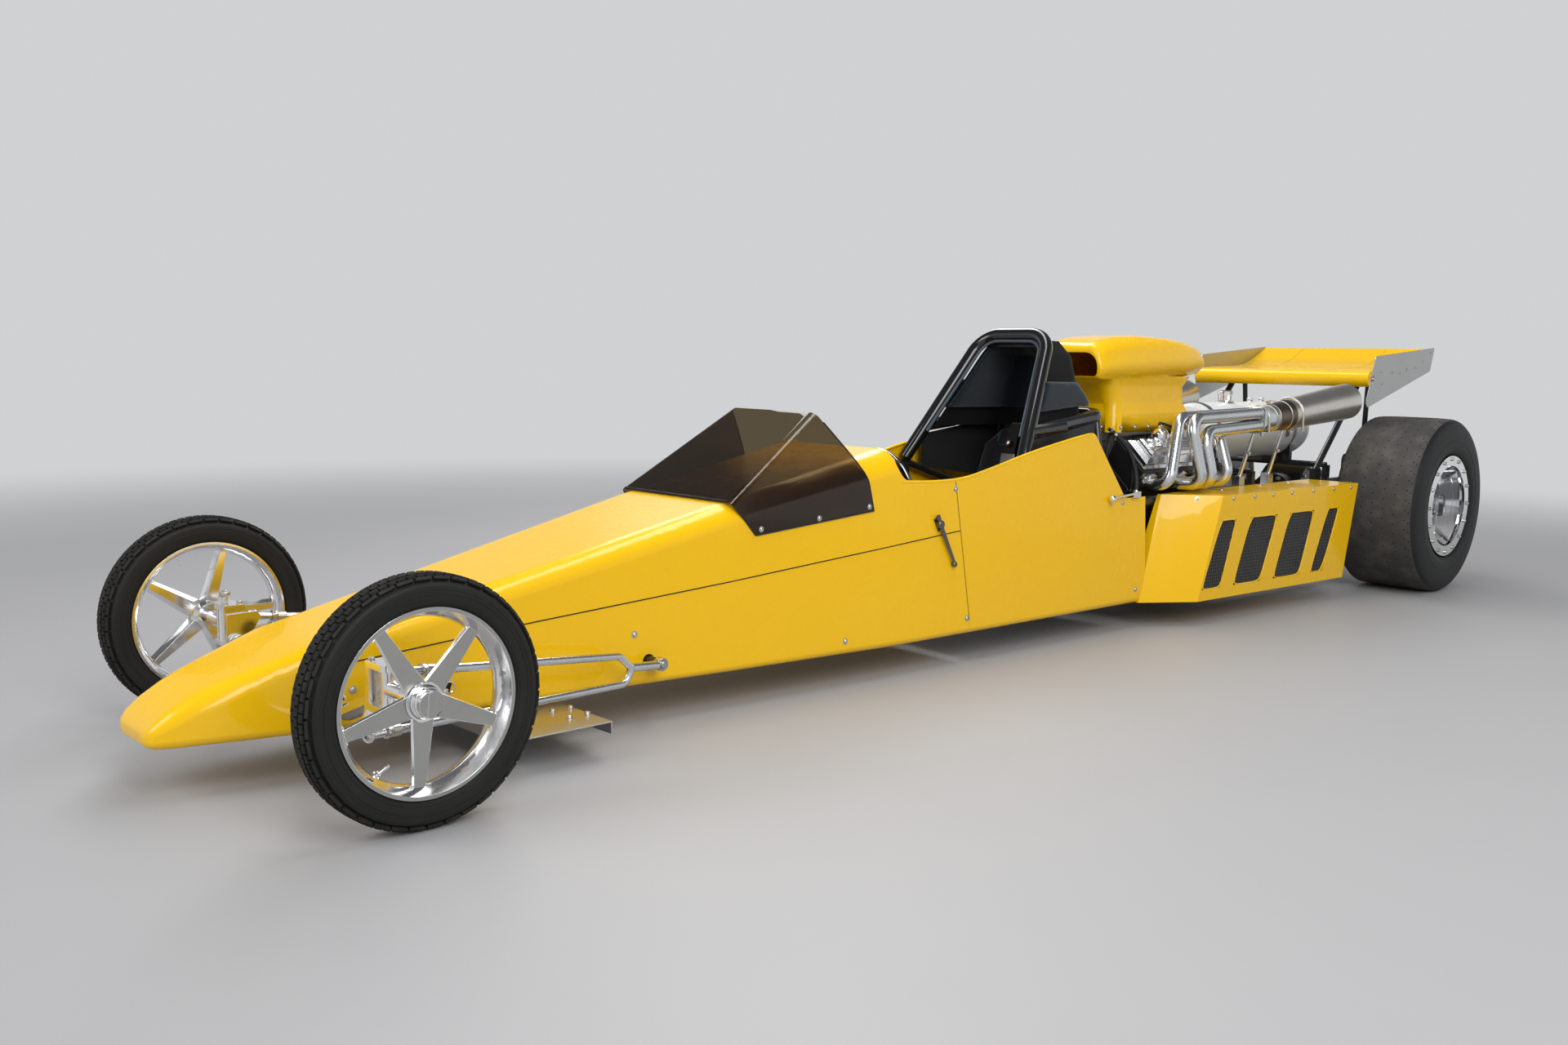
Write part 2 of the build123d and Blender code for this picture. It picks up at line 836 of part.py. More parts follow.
def engine_block():
    angle = radians(bank_angle)
    top = deck_distance
    outer_y = top * sin(angle) + head_half * cos(angle)
    outer_z = crank_height + top * cos(angle) - head_half * sin(angle)
    inner_y = top * sin(angle) - head_half * cos(angle)
    inner_z = crank_height + top * cos(angle) + head_half * sin(angle)
    half = [
        (inner_y, inner_z),
        (outer_y, outer_z),
        (150, crank_height),
        (150, crank_height - 60),
        (110, crank_height - 80),
        (110, 215),
    ]
    points = half + [(-y, z) for y, z in reversed(half)]
    shape = prism(points, "X", engine_rear, engine_front)
    # Columns: start, end, height over the crank, diameter
    front_parts = [
        (0, 26, 0, 170),
        (26, 34, 0, 120),
        (34, 60, 0, 160),
        (0, 22, 190, 120),
    ]
    for near, far, rise, diameter in front_parts:
        z = crank_height + rise
        shape += rod((engine_front + near, 0, z), (engine_front + far, 0, z), diameter)
    for side in (1, -1):
        shape += in_bank(side, (engine_rear + 6, engine_front - 6), (-head_half, head_half),
                         (deck_distance - 1, deck_distance + head_height))
    return shape


def motor_plates():
    """Plates that hang the engine and bellhousing between the frame rails."""
    plates = []
    half = bay_rail_half - rail_tube / 2 - seat_gap
    for x, hole in ((engine_front + seat_gap, 176), (engine_rear - 6 - seat_gap, 0)):
        low = rail_height + rail_tube / 2 + seat_gap
        plate = block((x, x + 6), (-half, half), (low, bay_rail_height + 20))
        if hole:
            plate -= rod((x - 5, 0, crank_height), (x + 12, 0, crank_height), hole)
        plates.append(plate)
    return plates


def valve_covers():
    covers = []
    for side in (1, -1):
        base = deck_distance + head_height + seat_gap
        near, far = engine_rear + 10, engine_front - 10
        cover = in_bank(side, (near, far), (-66, 66), (base, base + 8))
        for inset, half, low, high, corner in ((8, 58, 7, 40, 16), (34, 40, 39, 58, 8)):
            step = block((near + inset, far - inset), (-half, half), (base + low, base + high))
            top = step.faces().sort_by(Axis.Z)[-1]
            cover += bank_plane(0, side) * chamfer(top.edges(), corner)
        covers.append(cover)
    breather = Cylinder(24, 48, align=(Align.CENTER, Align.CENTER, Align.MIN))
    breather += Pos(0, 0, 40) * Cylinder(34, 12, align=(Align.CENTER, Align.CENTER, Align.MIN))
    breather += Pos(0, 0, 46) * Sphere(30)
    breather &= Cylinder(60, 90, align=(Align.CENTER, Align.CENTER, Align.MIN))
    covers[0] += Pos(engine_front - 150, 240, crank_height + 240) * breather
    return covers


def intake_manifold():
    plenum_low = valley_height + runner_height
    shape = block((engine_rear + 60, engine_front - 60), (-70, 70), (valley_height, plenum_low))
    return shape + block((engine_rear + 90, engine_front - 90), (-90, 90), (plenum_low, scoop_base - seat_gap))


# Columns: height over the scoop's base, rear station, front station, half width, corner radius
scoop_neck = [
    (0, 1151, 1681, 150, 45),
    (66, 1154, 1678, 148, 46),
    (104, 1162, 1656, 130, 50),
    (164, 1160, 1688, 127, 54),
    (204, 1120, 1728, 136, 60),
]

# Columns: station, low height, low half, side height, side half, top height, crown half,
# crown radius, side radius; heights are over the scoop's base
scoop_hood = [
    (1772, 197, 126, 224, 138, 296, 108, 44, 34),
    (1764, 193, 130, 224, 145, 312, 116, 52, 40),
    (1738, 190, 132, 226, 152, 325, 124, 60, 46),
    (1650, 188, 130, 230, 161, 343, 130, 66, 56),
    (1500, 189, 128, 234, 166, 352, 132, 70, 60),
    (1330, 196, 126, 240, 165, 350, 130, 70, 60),
    (1200, 203, 120, 245, 160, 341, 124, 66, 54),
    (1110, 210, 112, 249, 153, 328, 114, 58, 46),
    (1060, 215, 102, 251, 143, 318, 102, 50, 38),
    (1022, 221, 86, 253, 124, 307, 84, 40, 28),
    (998, 230, 66, 257, 98, 295, 62, 28, 18),
    (986, 242, 40, 262, 64, 282, 38, 12, 10),
]


def hood_section(row, inset, ahead):
    station, low, low_half, side, side_half, top, crown_half, crown_radius, side_radius = row
    near = [
        (low_half - inset, scoop_base + low + inset),
        (side_half - inset, scoop_base + side),
        (crown_half - inset, scoop_base + top - inset),
    ]
    points = near + [(-y, z) for y, z in reversed(near)]
    corners = [min(12, side_radius / 2), side_radius - inset, crown_radius - inset]
    return outline(points, "X", station + ahead, corners + corners[::-1])


def scoop_neck_solid(inset):
    faces = []
    for rise, rear, front, half, corner in scoop_neck:
        points = [
            (rear + inset, inset - half),
            (front - inset, inset - half),
            (front - inset, half - inset),
            (rear + inset, half - inset),
        ]
        low = inset if rise == 0 else 0.0
        faces.append(outline(points, "Z", scoop_base + rise + low, corner - inset))
    return loft(faces, ruled=True)


def scoop_hood_solid(inset):
    """The hood's form; the inner one stops short of the lip and of the tail."""
    rows = scoop_hood[2:-2] if inset else scoop_hood
    return loft([hood_section(row, inset, 0.0) for row in rows], ruled=True)


def scoop():
    """A hollow hood on a narrower neck, with a rounded mouth that looks forward."""
    wall = 5.0
    mouth_low, mouth_high, mouth_half = scoop_base + 201, scoop_base + 286, 124
    corners = [(-mouth_half, mouth_low), (mouth_half, mouth_low), (mouth_half, mouth_high), (-mouth_half, mouth_high)]
    mouth = prism(corners, "X", 1700, 1800, [16, 16, 54, 54])
    outer = scoop_neck_solid(0.0) + scoop_hood_solid(0.0)
    return outer - scoop_neck_solid(wall) - scoop_hood_solid(wall) - mouth


# The exhaust ports: two at the ends of each head and two side by side at its middle.
# Columns: station from the engine's middle, collector side (1 is outer), collector level
# (1 is upper), elbow (ahead, half, height), riser top (ahead, below the collector place)
exhaust_ports = [
    (170, -1, 1, (14, 342, 508), (-88, 12)),
    (38, 1, 1, (-4, 386, 500), (48, 14)),
    (-38, 1, -1, (0, 386, 500), (30, 16)),
    (-170, -1, -1, (-14, 372, 500), (-20, 20)),
]


def header_paths():
    """Centre lines from each exhaust port to its place in the collector."""
    angle = radians(bank_angle)
    port = deck_distance + 0.55 * head_height
    port_y = port * sin(angle) + head_half * cos(angle)
    port_z = crank_height + port * cos(angle) - head_half * sin(angle)
    pitch = (header_tube + 2) / 2
    middle = (engine_front + engine_rear) / 2
    paths = []
    for along, outer, upper, elbow, riser in exhaust_ports:
        x = middle + along
        y = collector_half + outer * pitch
        z = collector_height + upper * pitch
        start = (x, port_y + seat_gap, port_z - seat_gap)
        turn = (x, port_y + 18, port_z - 18)
        corner = (x + elbow[0], elbow[1], elbow[2])
        top = (x + riser[0], y, z - riser[1])
        paths.append([start, turn, corner, top, (collector_front - 10, y, z)])
    return paths


def headers():
    shape = None
    for path in header_paths():
        pipe = tube(path, header_tube, [16, 42, 52])
        x, y, z = path[0]
        flange = rod((x, y, z), (x, y + 7, z - 7), 70)
        shape = pipe + flange if shape is None else shape + pipe + flange
    ends = [
        (collector_front, header_tube + 4, 24),
        (collector_front - 52, header_tube + 4, 40),
        (collector_front - 100, 50, 49),
    ]
    faces = []
    for x, half, corner in ends:
        y, z = collector_half, collector_height
        points = [(y - half, z - half), (y + half, z - half), (y + half, z + half), (y - half, z + half)]
        faces.append(outline(points, "X", x, corner))
    shape += loft(faces, ruled=True)
    return shape + rod(collector_end, silencer_start - silencer_way * seat_gap, 100)


collector_end = Vector(collector_front - 96, collector_half, collector_height)
silencer_end = Vector(collector_front - 685, collector_half + 42, collector_height + 64)
silencer_way = (silencer_end - collector_end).normalized()
silencer_start = collector_end + silencer_way * 34


def silencer_form(grow):
    """The silencer's outer form: a short neck, a weld step and a slowly widening body."""
    span = silencer_end - silencer_start
    length, radius = span.length, silencer_diameter / 2
    outer = [(54, 0), (55, 60), (58, 64), (radius, length - 40), (radius, length)]
    profile = [(0, 0)] + [(r + grow, a) for r, a in outer] + [(0, length)]
    return turned(profile, Plane(origin=silencer_start, z_dir=span))


def silencer():
    span = silencer_end - silencer_start
    length, radius = span.length, silencer_diameter / 2
    bore = [(0, -1), (46, -1), (46, length - 90), (radius - 8, length - 60), (radius - 8, length + 1), (0, length + 1)]
    return silencer_form(0.0) - turned(bore, Plane(origin=silencer_start, z_dir=span))


def silencer_hanger():
    """Saddle straps that carry the exhaust on the upper rail."""
    shape = None
    under_collector = collector_height - header_tube - 4 - seat_gap
    for x, low, high in (
        (collector_front - 27, under_collector - 6, under_collector),
        (758, collector_height - 48, collector_height - 34),
    ):
        strap = block((x - 14, x + 14), (collector_half - 30, collector_half + 30), (low, high))
        strap += rod((x, collector_half - 10, low), (x, bay_rail_half + 8, bay_rail_height + 56), 14)
        foot_y = (bay_rail_half - 12, bay_rail_half + 21)
        strap += block((x - 20, x + 20), foot_y, (bay_rail_height + 19, bay_rail_height + 62))
        strap -= silencer_form(seat_gap)
        shape = strap if shape is None else shape + strap
    return shape


# Tank, wing and cockpit pieces


def tank():
    radius = tank_diameter / 2
    length = tank_front - tank_rear
    profile = [
        (0, 0),
        (radius - 40, 4),
        (radius - 8, 30),
        (radius, 60),
        (radius, length - 60),
        (radius - 8, length - 30),
        (radius - 40, length - 4),
        (0, length),
    ]
    return turned(profile, Plane(origin=(tank_rear, 0, tank_height), z_dir=(1, 0, 0)))


def tank_mounts():
    """Saddles under the tank, on cross tubes that stand on the upper rails."""
    shapes = []
    cross = tank_height - tank_diameter / 2 - tank_saddle
    for x in (880, 230):
        mount = rod((x, -bay_rail_half, cross), (x, bay_rail_half, cross), 24)
        mount += block((x - 12, x + 12), (-100, 100), (cross, tank_height - 60))
        for side in (-1, 1):
            ys = sorted((side * (bay_rail_half - 12), side * (bay_rail_half + 12)))
            mount += block((x - 12, x + 12), ys, (bay_rail_height + 19, cross))
        shapes.append(mount - rod((0, 0, tank_height), (1200, 0, tank_height), tank_diameter + 2 * seat_gap))
    return shapes


def wing_outline():
    nose = 34.0
    return [
        (wing_front - nose, wing_nose_height + nose), (60, 927), (-150, 931), (-265, 945), (-350, 975), (-450, 1022),
        (-453, 1016), (-340, 955), (-240, 915), (-100, 885), (wing_front - nose, wing_nose_height - nose),
    ]


def wing():
    half = wing_span / 2
    face = make_face(Polyline(*[(x, -half, z) for x, z in wing_outline()], close=True))
    shape = extrude(face, amount=wing_span, dir=(0, 1, 0))
    return shape + rod((wing_front - 34, -half, wing_nose_height), (wing_front - 34, half, wing_nose_height), 68)


def wing_end_plate():
    half = wing_span / 2
    points = [(140, 980), (-tail_overhang, 1027), (-tail_overhang, 1016), (-430, 922), (220, 757)]
    return prism(points, "Y", half, half + wing_plate, [22, 5, 5, 22, 22])


def wing_struts():
    strut = rod((395, 292, 500), (40, 292, wing_nose_height - 20), 26)
    strut += rod((-80, 277, 566), (-60, 292, 905), 22)
    strut += block((370, 420), (bay_rail_half + 19.3, bay_rail_half + 44), (bay_rail_height - 30, bay_rail_height + 70))
    strut += block((-100, -60), (270, 284), (560.3, 574))
    strut -= wing()
    return strut


def cage_shroud_solid(inset):
    # Columns: height, front station, front half width, rear station, rear half width, corner radius
    rows = [
        (700, 2262, 205, 1885, 182, 90),
        (850, 2165, 165, 1876, 150, 90),
        (950, 2100, 138, 1886, 118, 70),
        (1000, 2068, 118, 1950, 96, 44),
    ]
    faces = []
    for z, front, front_half, rear, rear_half, corner in rows:
        ahead = 20.0 if inset else 0.0
        points = [
            (front + ahead, inset - front_half), (front + ahead, front_half - inset),
            (rear + inset, rear_half - inset), (rear + inset, inset - rear_half),
        ]
        drop = -1.0 if inset and z == 700 else (-inset if z == 1000 else 0.0)
        faces.append(outline(points, "Z", z + drop, [0, 0, corner - inset, corner - inset]))
    return loft(faces, ruled=True)


def cage_shroud(cage):
    return cage_shroud_solid(0.0) - cage_shroud_solid(3.0) - cage


def shroud_lining(cage):
    shape = cage_shroud_solid(3.0 + seat_gap) - cage_shroud_solid(16.0)
    front = prism([(2262, 700), (2068, 1000), (2400, 1000), (2400, 700)], "Y", -300, 300)
    return shape - front - block((1000, 3000), (-400, 400), (600, 760)) - cage


def cockpit_liner(cage):
    """The panel under the ring tube, whose back wall is the firewall."""
    outer = prism([(2290, -232), (2290, 232), (1855, 214), (1855, -214)], "Z", 105, 760, [0, 0, 60, 60])
    inner = prism([(2300, -229), (2300, 229), (1858, 211), (1858, -211)], "Z", 100, 770, [0, 0, 57, 57])
    shape = outer - inner
    side_view = [(2290, 560), (2290, 672), (1840, 733), (1840, 110), (1885, 110), (1885, 500)]
    return (shape & prism(side_view, "Y", -300, 300)) - cage


def seat():
    """Bucket seat: a bent back and base with side bolsters."""
    base = rail_height + brace_tube / 2 + seat_gap
    back = [(1900, 690), (1925, 690), (2060, 250), (2090, 205), (2480, 215), (2480, base), (2060, base), (2010, 220)]
    shape = prism(back, "Y", -175, 175)
    bolster = [(1900, 690), (1990, 640), (2120, 330), (2480, 290), (2480, base), (2060, base), (2010, 220)]
    return shape + prism(bolster, "Y", 175, 195) + prism(bolster, "Y", -195, -175)


def head_pads(cage):
    pads = []
    for side in (1, -1):
        ys = sorted((side * 190.5, side * 206))
        points = [(2262, 756), (2190, 866), (2000, 866), (1925, 800), (1925, 780)]
        pads.append(prism(points, "Y", *ys, [0, 0, 40, 10, 0]) - cage)
    return pads


def floor_pan():
    z = ground_clearance + body_wall
    return block((1790, body_joint - 60), (-275, 275), (z, z + sheet + 0.5))


column_tilt = 14.0
steering_centre = (2745.0, 0.0, 520.0)


def column_plane():
    tilt = radians(column_tilt)
    return Plane(origin=steering_centre, x_dir=(0, 1, 0), z_dir=(-cos(tilt), 0, sin(tilt)))


def steering_wheel():
    ring = Torus(125, 11)
    wheel = ring + Cylinder(28, 20)
    for angle in (0, 180, 270):
        wheel += Rot(0, 0, angle) * Pos(66, 0, 0) * Box(96, 22, 5)
    wheel += Pos(0, 0, -60) * Cylinder(9.5, 120)
    return column_plane() * wheel


def steering_column():
    shape = Pos(0, 0, -300) * Cylinder(17, 560)
    shape -= Pos(0, 0, -300) * Cylinder(9.5 + running_fit, 600)
    column = column_plane() * shape
    column += block((2950, 2970), (-60, 60), (440, 602)) & prism([(2950, 440), (2970, 440), (2970, 602), (2950, 602)], "Y", -12, 12)
    return column


def gear_lever():
    shape = rod((1780, 304, 477), (1862, 306, 473), 9)
    shape += block((1745, 1790), (286, 311), (464.3, 485))
    return shape + Pos(1921, 311, 468) * Sphere(13) + rod((1862, 306, 473), (1921, 311, 468), 8)


def save(name, shape):
    solids = shape if isinstance(shape, list) else [shape]
    moved = [Pos(-car_centre, 0, 0) * s for s in solids]
    export_step(moved[0] if len(moved) == 1 else Compound(children=moved), f"parts/{name}.step")


def build():
    os.makedirs("parts", exist_ok=True)
    front = front_body()
    cage = roll_cage()
    frame = frame_rails()
    panel = side_panel()
    mesh = pod_mesh()
    arm, joint, arm_low = knuckle()
    hole = rod((*joint, arm_low - 5), (*joint, arm_low + 20), 12 + 2 * running_fit)
    open_hole = rod((*joint, arm_low - 5), (*joint, arm_low + 20), 12 + 2 * open_pivot_fit)
    pipes = headers()
    muffler = silencer()
    hanger = silencer_hanger()
    boss = pivot_boss()
    frame = frame + boss + mirrored(boss)
    save("frame_rails", frame)
    save("roll_cage", cage - frame)
    save("nose_deck", nose_deck(front))
    save("lower_body", lower_body(front))
    save("side_panel_left", panel)
    save("side_panel_right", mirrored(panel))
    save("pod_mesh", mesh + [mirrored(m) for m in mesh])
    save("windscreen", windscreen())
    save("cage_shroud", cage_shroud(cage))
    save("cage_padding", [shroud_lining(cage)] + head_pads(cage))
    save("cockpit_liner", cockpit_liner(cage))
    save("seat", seat())
    save("floor_pan", floor_pan())
    save("front_plate", front_plate())
    save("front_axle", front_axle())
    rod_left = radius_rod()
    save("radius_rods", [rod_left, mirrored(rod_left)])
    save("knuckle_left", arm - hole)
    save("knuckle_right", mirrored(arm - open_hole))
    save("tie_rod", tie_rod())
    save("steering_wheel", steering_wheel())
    save("steering_column", steering_column())
    save("engine_block", engine_block())
    save("motor_plates", motor_plates())
    save("valve_covers", valve_covers())
    save("intake_manifold", intake_manifold())
    save("scoop", scoop())
    save("headers", [pipes, mirrored(pipes)])
    save("silencers", [muffler, mirrored(muffler)])
    save("silencer_hangers", [hanger, mirrored(hanger)])
    save("gearbox", gearbox())
    save("rear_axle_housing", rear_axle_housing())
    save("rear_axle", rear_axle())
    save("tank", tank())
    save("tank_mounts", tank_mounts())
    save("wing", wing())
    plate = wing_end_plate()
    save("wing_end_plates", [plate, mirrored(plate)])
    strut = wing_struts()
    save("wing_struts", [strut, mirrored(strut)])
    save("gear_lever", gear_lever())
    for name, side, rest_angle in (("left", 1, 86), ("right", -1, 105)):
        front_place = axle_plane(front_axle_x, side * front_half, front_tyre_radius, side)
        save(f"front_wheel_{name}", front_place * Rot(0, 0, rest_angle) * front_rim())
        save(f"front_tyre_{name}", front_place * front_tyre())
        rear_place = axle_plane(0, side * rear_half, rear_tyre_radius, side)
        save(f"rear_wheel_{name}", rear_place * rear_rim())
        save(f"rear_tyre_{name}", rear_place * rear_tyre())


build()
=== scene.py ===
import bpy
import bmesh
import json
from math import cos, hypot, pi, radians, sin, tan
from mathutils import Matrix, Vector
from mathutils.bvhtree import BVHTree

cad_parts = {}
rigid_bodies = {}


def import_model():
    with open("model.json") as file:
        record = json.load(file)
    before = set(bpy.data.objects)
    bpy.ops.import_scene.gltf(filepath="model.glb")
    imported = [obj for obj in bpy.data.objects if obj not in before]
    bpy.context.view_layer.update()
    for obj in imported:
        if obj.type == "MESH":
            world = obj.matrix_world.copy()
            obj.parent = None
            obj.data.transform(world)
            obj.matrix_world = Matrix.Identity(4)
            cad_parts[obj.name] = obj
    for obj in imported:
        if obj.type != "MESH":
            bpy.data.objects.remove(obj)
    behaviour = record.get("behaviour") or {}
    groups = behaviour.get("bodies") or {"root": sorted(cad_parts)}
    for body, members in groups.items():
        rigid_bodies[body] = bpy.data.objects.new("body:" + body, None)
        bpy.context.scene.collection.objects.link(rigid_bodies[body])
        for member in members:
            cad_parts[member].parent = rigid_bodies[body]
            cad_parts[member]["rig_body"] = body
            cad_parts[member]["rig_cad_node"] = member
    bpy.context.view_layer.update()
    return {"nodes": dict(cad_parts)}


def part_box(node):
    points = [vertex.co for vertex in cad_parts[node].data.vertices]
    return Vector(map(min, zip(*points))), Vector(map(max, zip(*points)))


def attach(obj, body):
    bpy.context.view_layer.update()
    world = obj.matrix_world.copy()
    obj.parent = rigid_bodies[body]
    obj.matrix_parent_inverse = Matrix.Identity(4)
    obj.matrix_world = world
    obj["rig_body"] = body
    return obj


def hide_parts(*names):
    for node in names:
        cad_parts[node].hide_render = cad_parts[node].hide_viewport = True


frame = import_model()


def axle_of(tyre):
    """The station of a tyre's axle, its half track and its radius, in metres."""
    low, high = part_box(tyre)
    return (low.x + high.x) / 2, (low.y + high.y) / 2, (high.z - low.z) / 2


FRONT_AXLE = axle_of("front_tyre_left")
REAR_AXLE = axle_of("rear_tyre_left")
rear_axle_x = REAR_AXLE[0]
rear_tyre_radius = REAR_AXLE[2]

# The car's sides by the sign of Y, three directions, and the solids of the front body
SIDES = {1: "left", -1: "right"}
AHEAD = (1, 0, 0)
UP = (0, 0, 1)
DOWN = (0, 0, -1)
FRONT_BODY = ["nose_deck", "lower_body"]

# The picture's camera
EYE = Vector((3.612, 2.886, 0.92))
YAW = radians(226.738)
PITCH = radians(6.886)
ROLL = radians(-1.105)
LENS = 31.03
SENSOR = 36.0

# The far floor and the room fade into one colour
ROOM = (0.63, 0.64, 0.65, 1)
CEILING = (0.13, 0.135, 0.14, 1)

# Heights of the engine's crank, the rear axle and the tank, in millimetres, and a cylinder bank's lean
CRANK_HEIGHT = 385
AXLE_HEIGHT = 364
TANK_HEIGHT = 661
BANK_ANGLE = radians(45)


# Modelling helpers

def leave():
    bpy.ops.object.mode_set(mode="OBJECT")


def deselect():
    if bpy.context.mode != "OBJECT":
        leave()
    bpy.ops.object.select_all(action="DESELECT")


def focus(obj):
    deselect()
    obj.select_set(True)
    bpy.context.view_layer.objects.active = obj


def edit(obj, kind="VERT"):
    """Opens an object for editing with all of it selected."""
    focus(obj)
    bpy.ops.object.mode_set(mode="EDIT")
    bpy.ops.mesh.select_mode(type=kind)
    bpy.ops.mesh.select_all(action="SELECT")


def pick(test, kind="VERT"):
    """In edit mode, selects only the vertices or faces that pass a test."""
    bpy.ops.mesh.select_mode(type=kind)
    bpy.ops.mesh.select_all(action="DESELECT")
    data = bpy.context.object.data
    mesh = bmesh.from_edit_mesh(data)
    for item in mesh.verts if kind == "VERT" else mesh.faces:
        if test(item):
            item.select_set(True)
    mesh.select_flush_mode()
    bmesh.update_edit_mesh(data)


def settled():
    """The current object, with its place, turn and size put into its mesh."""
    bpy.ops.object.transform_apply(location=True, rotation=True, scale=True)
    return bpy.context.object


def outward(obj):
    edit(obj)
    bpy.ops.mesh.remove_doubles(threshold=1e-5)
    bpy.ops.mesh.normals_make_consistent(inside=False)
    leave()
    return obj


def applied(obj, kind, **settings):
    focus(obj)
    modifier = obj.modifiers.new(kind.lower(), kind)
    for key, value in settings.items():
        setattr(modifier, key, value)
    bpy.ops.object.modifier_apply(modifier=modifier.name)
    return obj


def smooth(obj, angle=30):
    focus(obj)
    bpy.ops.object.shade_smooth_by_angle(angle=radians(angle))
    return obj


def softened(obj, width, angle=35, segments=2):
    """Rounds the edges that turn by more than an angle."""
    applied(obj, "BEVEL", width=width, segments=segments, limit_method="ANGLE",
            angle_limit=radians(angle), use_clamp_overlap=True)
    smooth(obj, angle)
    return applied(obj, "WEIGHTED_NORMAL", keep_sharp=True)


def joined(pieces):
    deselect()
    for piece in pieces:
        piece.select_set(True)
    bpy.context.view_layer.objects.active = pieces[0]
    if len(pieces) > 1:
        bpy.ops.object.join()
    return bpy.context.object


def copy_of(obj):
    twin = obj.copy()
    twin.data = obj.data.copy()
    bpy.context.scene.collection.objects.link(twin)
    return twin


def placed(obj, matrix):
    """Moves a finished piece by a matrix, with its place in its mesh."""
    obj.data.transform(matrix)
    if matrix.determinant() < 0:
        obj.data.flip_normals()
    return obj


def scattered(pattern, places):
    """One mesh with a copy of the pattern at each matrix. The pattern itself goes."""
    copies = [placed(copy_of(pattern), matrix) for matrix in places]
    bpy.data.objects.remove(pattern)
    return joined(copies)


def shift(x, y, z):
    return Matrix.Translation((x, y, z))


def turn(angle, axis="Z"):
    return Matrix.Rotation(angle, 4, axis)


def axes(x, y, z):
    """The matrix that turns local X, Y and Z to three directions."""
    return Matrix((x, y, z)).transposed().to_4x4()


def facing(point, direction):
    """The matrix that stands a piece on a point with its Z along a direction."""
    return shift(*point) @ Vector(direction).to_track_quat("Z", "Y").to_matrix().to_4x4()


def circle(count, radius, along, start=0.0):
    """Matrices spaced evenly round local Z at a radius."""
    return [turn(start + 2 * pi * index / count) @ shift(radius, 0, along) for index in range(count)]


def around(count, radius, along, tilt=0.0, start=0.0):
    """The same, each with its Z leaning from radial towards the axle by a tilt."""
    return [place @ turn(pi / 2 - tilt, "Y") for place in circle(count, radius, along, start)]


def chain(points, closed=False):
    """A line of edges, drawn by extruding one corner of a plane from point to point."""
    deselect()
    bpy.ops.mesh.primitive_plane_add(size=1, location=(0, 0, 0))
    obj = bpy.context.object
    edit(obj)
    pick(lambda v: v.index > 0)
    bpy.ops.mesh.delete(type="VERT")
    bpy.ops.mesh.select_all(action="SELECT")
    bpy.ops.transform.translate(value=Vector(points[0]) - Vector((-0.5, -0.5, 0)))
    for start, end in zip(points, points[1:]):
        bpy.ops.mesh.extrude_vertices_move(TRANSFORM_OT_translate={"value": Vector(end) - Vector(start)})
    bpy.ops.mesh.select_all(action="SELECT")
    if closed:
        bpy.ops.mesh.edge_face_add()
    leave()
    return obj


def plate(points, thickness, bevel, place=Matrix()):
    """A flat plate cut to an outline in its own XY plane, from Z 0 up."""
    obj = chain([(x, y, 0) for x, y in points], closed=True)
    edit(obj, "FACE")
    bpy.ops.mesh.extrude_region_move(TRANSFORM_OT_translate={"value": (0, 0, thickness)})
    leave()
    return placed(softened(outward(obj), bevel), place)


def turned(profile, place=Matrix(), steps=48, sharp=30, closed=True):
    """A piece of revolution: the profile of (radius, along) spun about local Z."""
    obj = chain([(r, 0, a) for r, a in profile])
    edit(obj)
    ends = [Vector((r, 0, a)) for r, a in (profile[0], profile[-1])]
    if closed and (ends[0] - ends[1]).length > 1e-7 and min(end.x for end in ends) > 1e-6:
        pick(lambda v: min((v.co - end).length for end in ends) < 1e-7)
        bpy.ops.mesh.edge_face_add()
        bpy.ops.mesh.select_all(action="SELECT")
    bpy.ops.mesh.spin(steps=steps, angle=2 * pi, center=(0, 0, 0), axis=(0, 0, 1))
    leave()
    return placed(smooth(outward(obj), sharp), place)


def brick(size, centre=(0, 0, 0), bevel=0.0, place=Matrix()):
    """A block, with soft edges where a bevel is given."""
    deselect()
    bpy.ops.mesh.primitive_cube_add(size=1, location=centre, scale=size)
    obj = settled()
    if bevel:
        softened(obj, bevel)
    return placed(obj, place)


def piped(curve, radius, resolution, sides):
    """The current curve as the mesh of a round tube."""
    curve.resolution_u = resolution
    curve.bevel_depth = radius
    curve.bevel_resolution = max(0, sides // 2 - 2)
    curve.use_fill_caps = True
    bpy.ops.object.convert(target="MESH")
    return smooth(outward(bpy.context.object), 45)


def hose(points, radius, order=3, resolution=8, sides=12):
    """A smooth round tube along given points."""
    deselect()
    bpy.ops.curve.primitive_nurbs_path_add(location=(0, 0, 0))
    curve = bpy.context.object.data
    spline = curve.splines[0]
    if len(points) > len(spline.points):
        spline.points.add(len(points) - len(spline.points))
    else:
        curve.splines.remove(spline)
        spline = curve.splines.new("NURBS")
        spline.points.add(len(points) - 1)
    for point, place in zip(spline.points, points):
        point.co = (*place, 1)
    spline.order_u = order
    spline.use_endpoint_u = True
    return piped(curve, radius, resolution, sides)


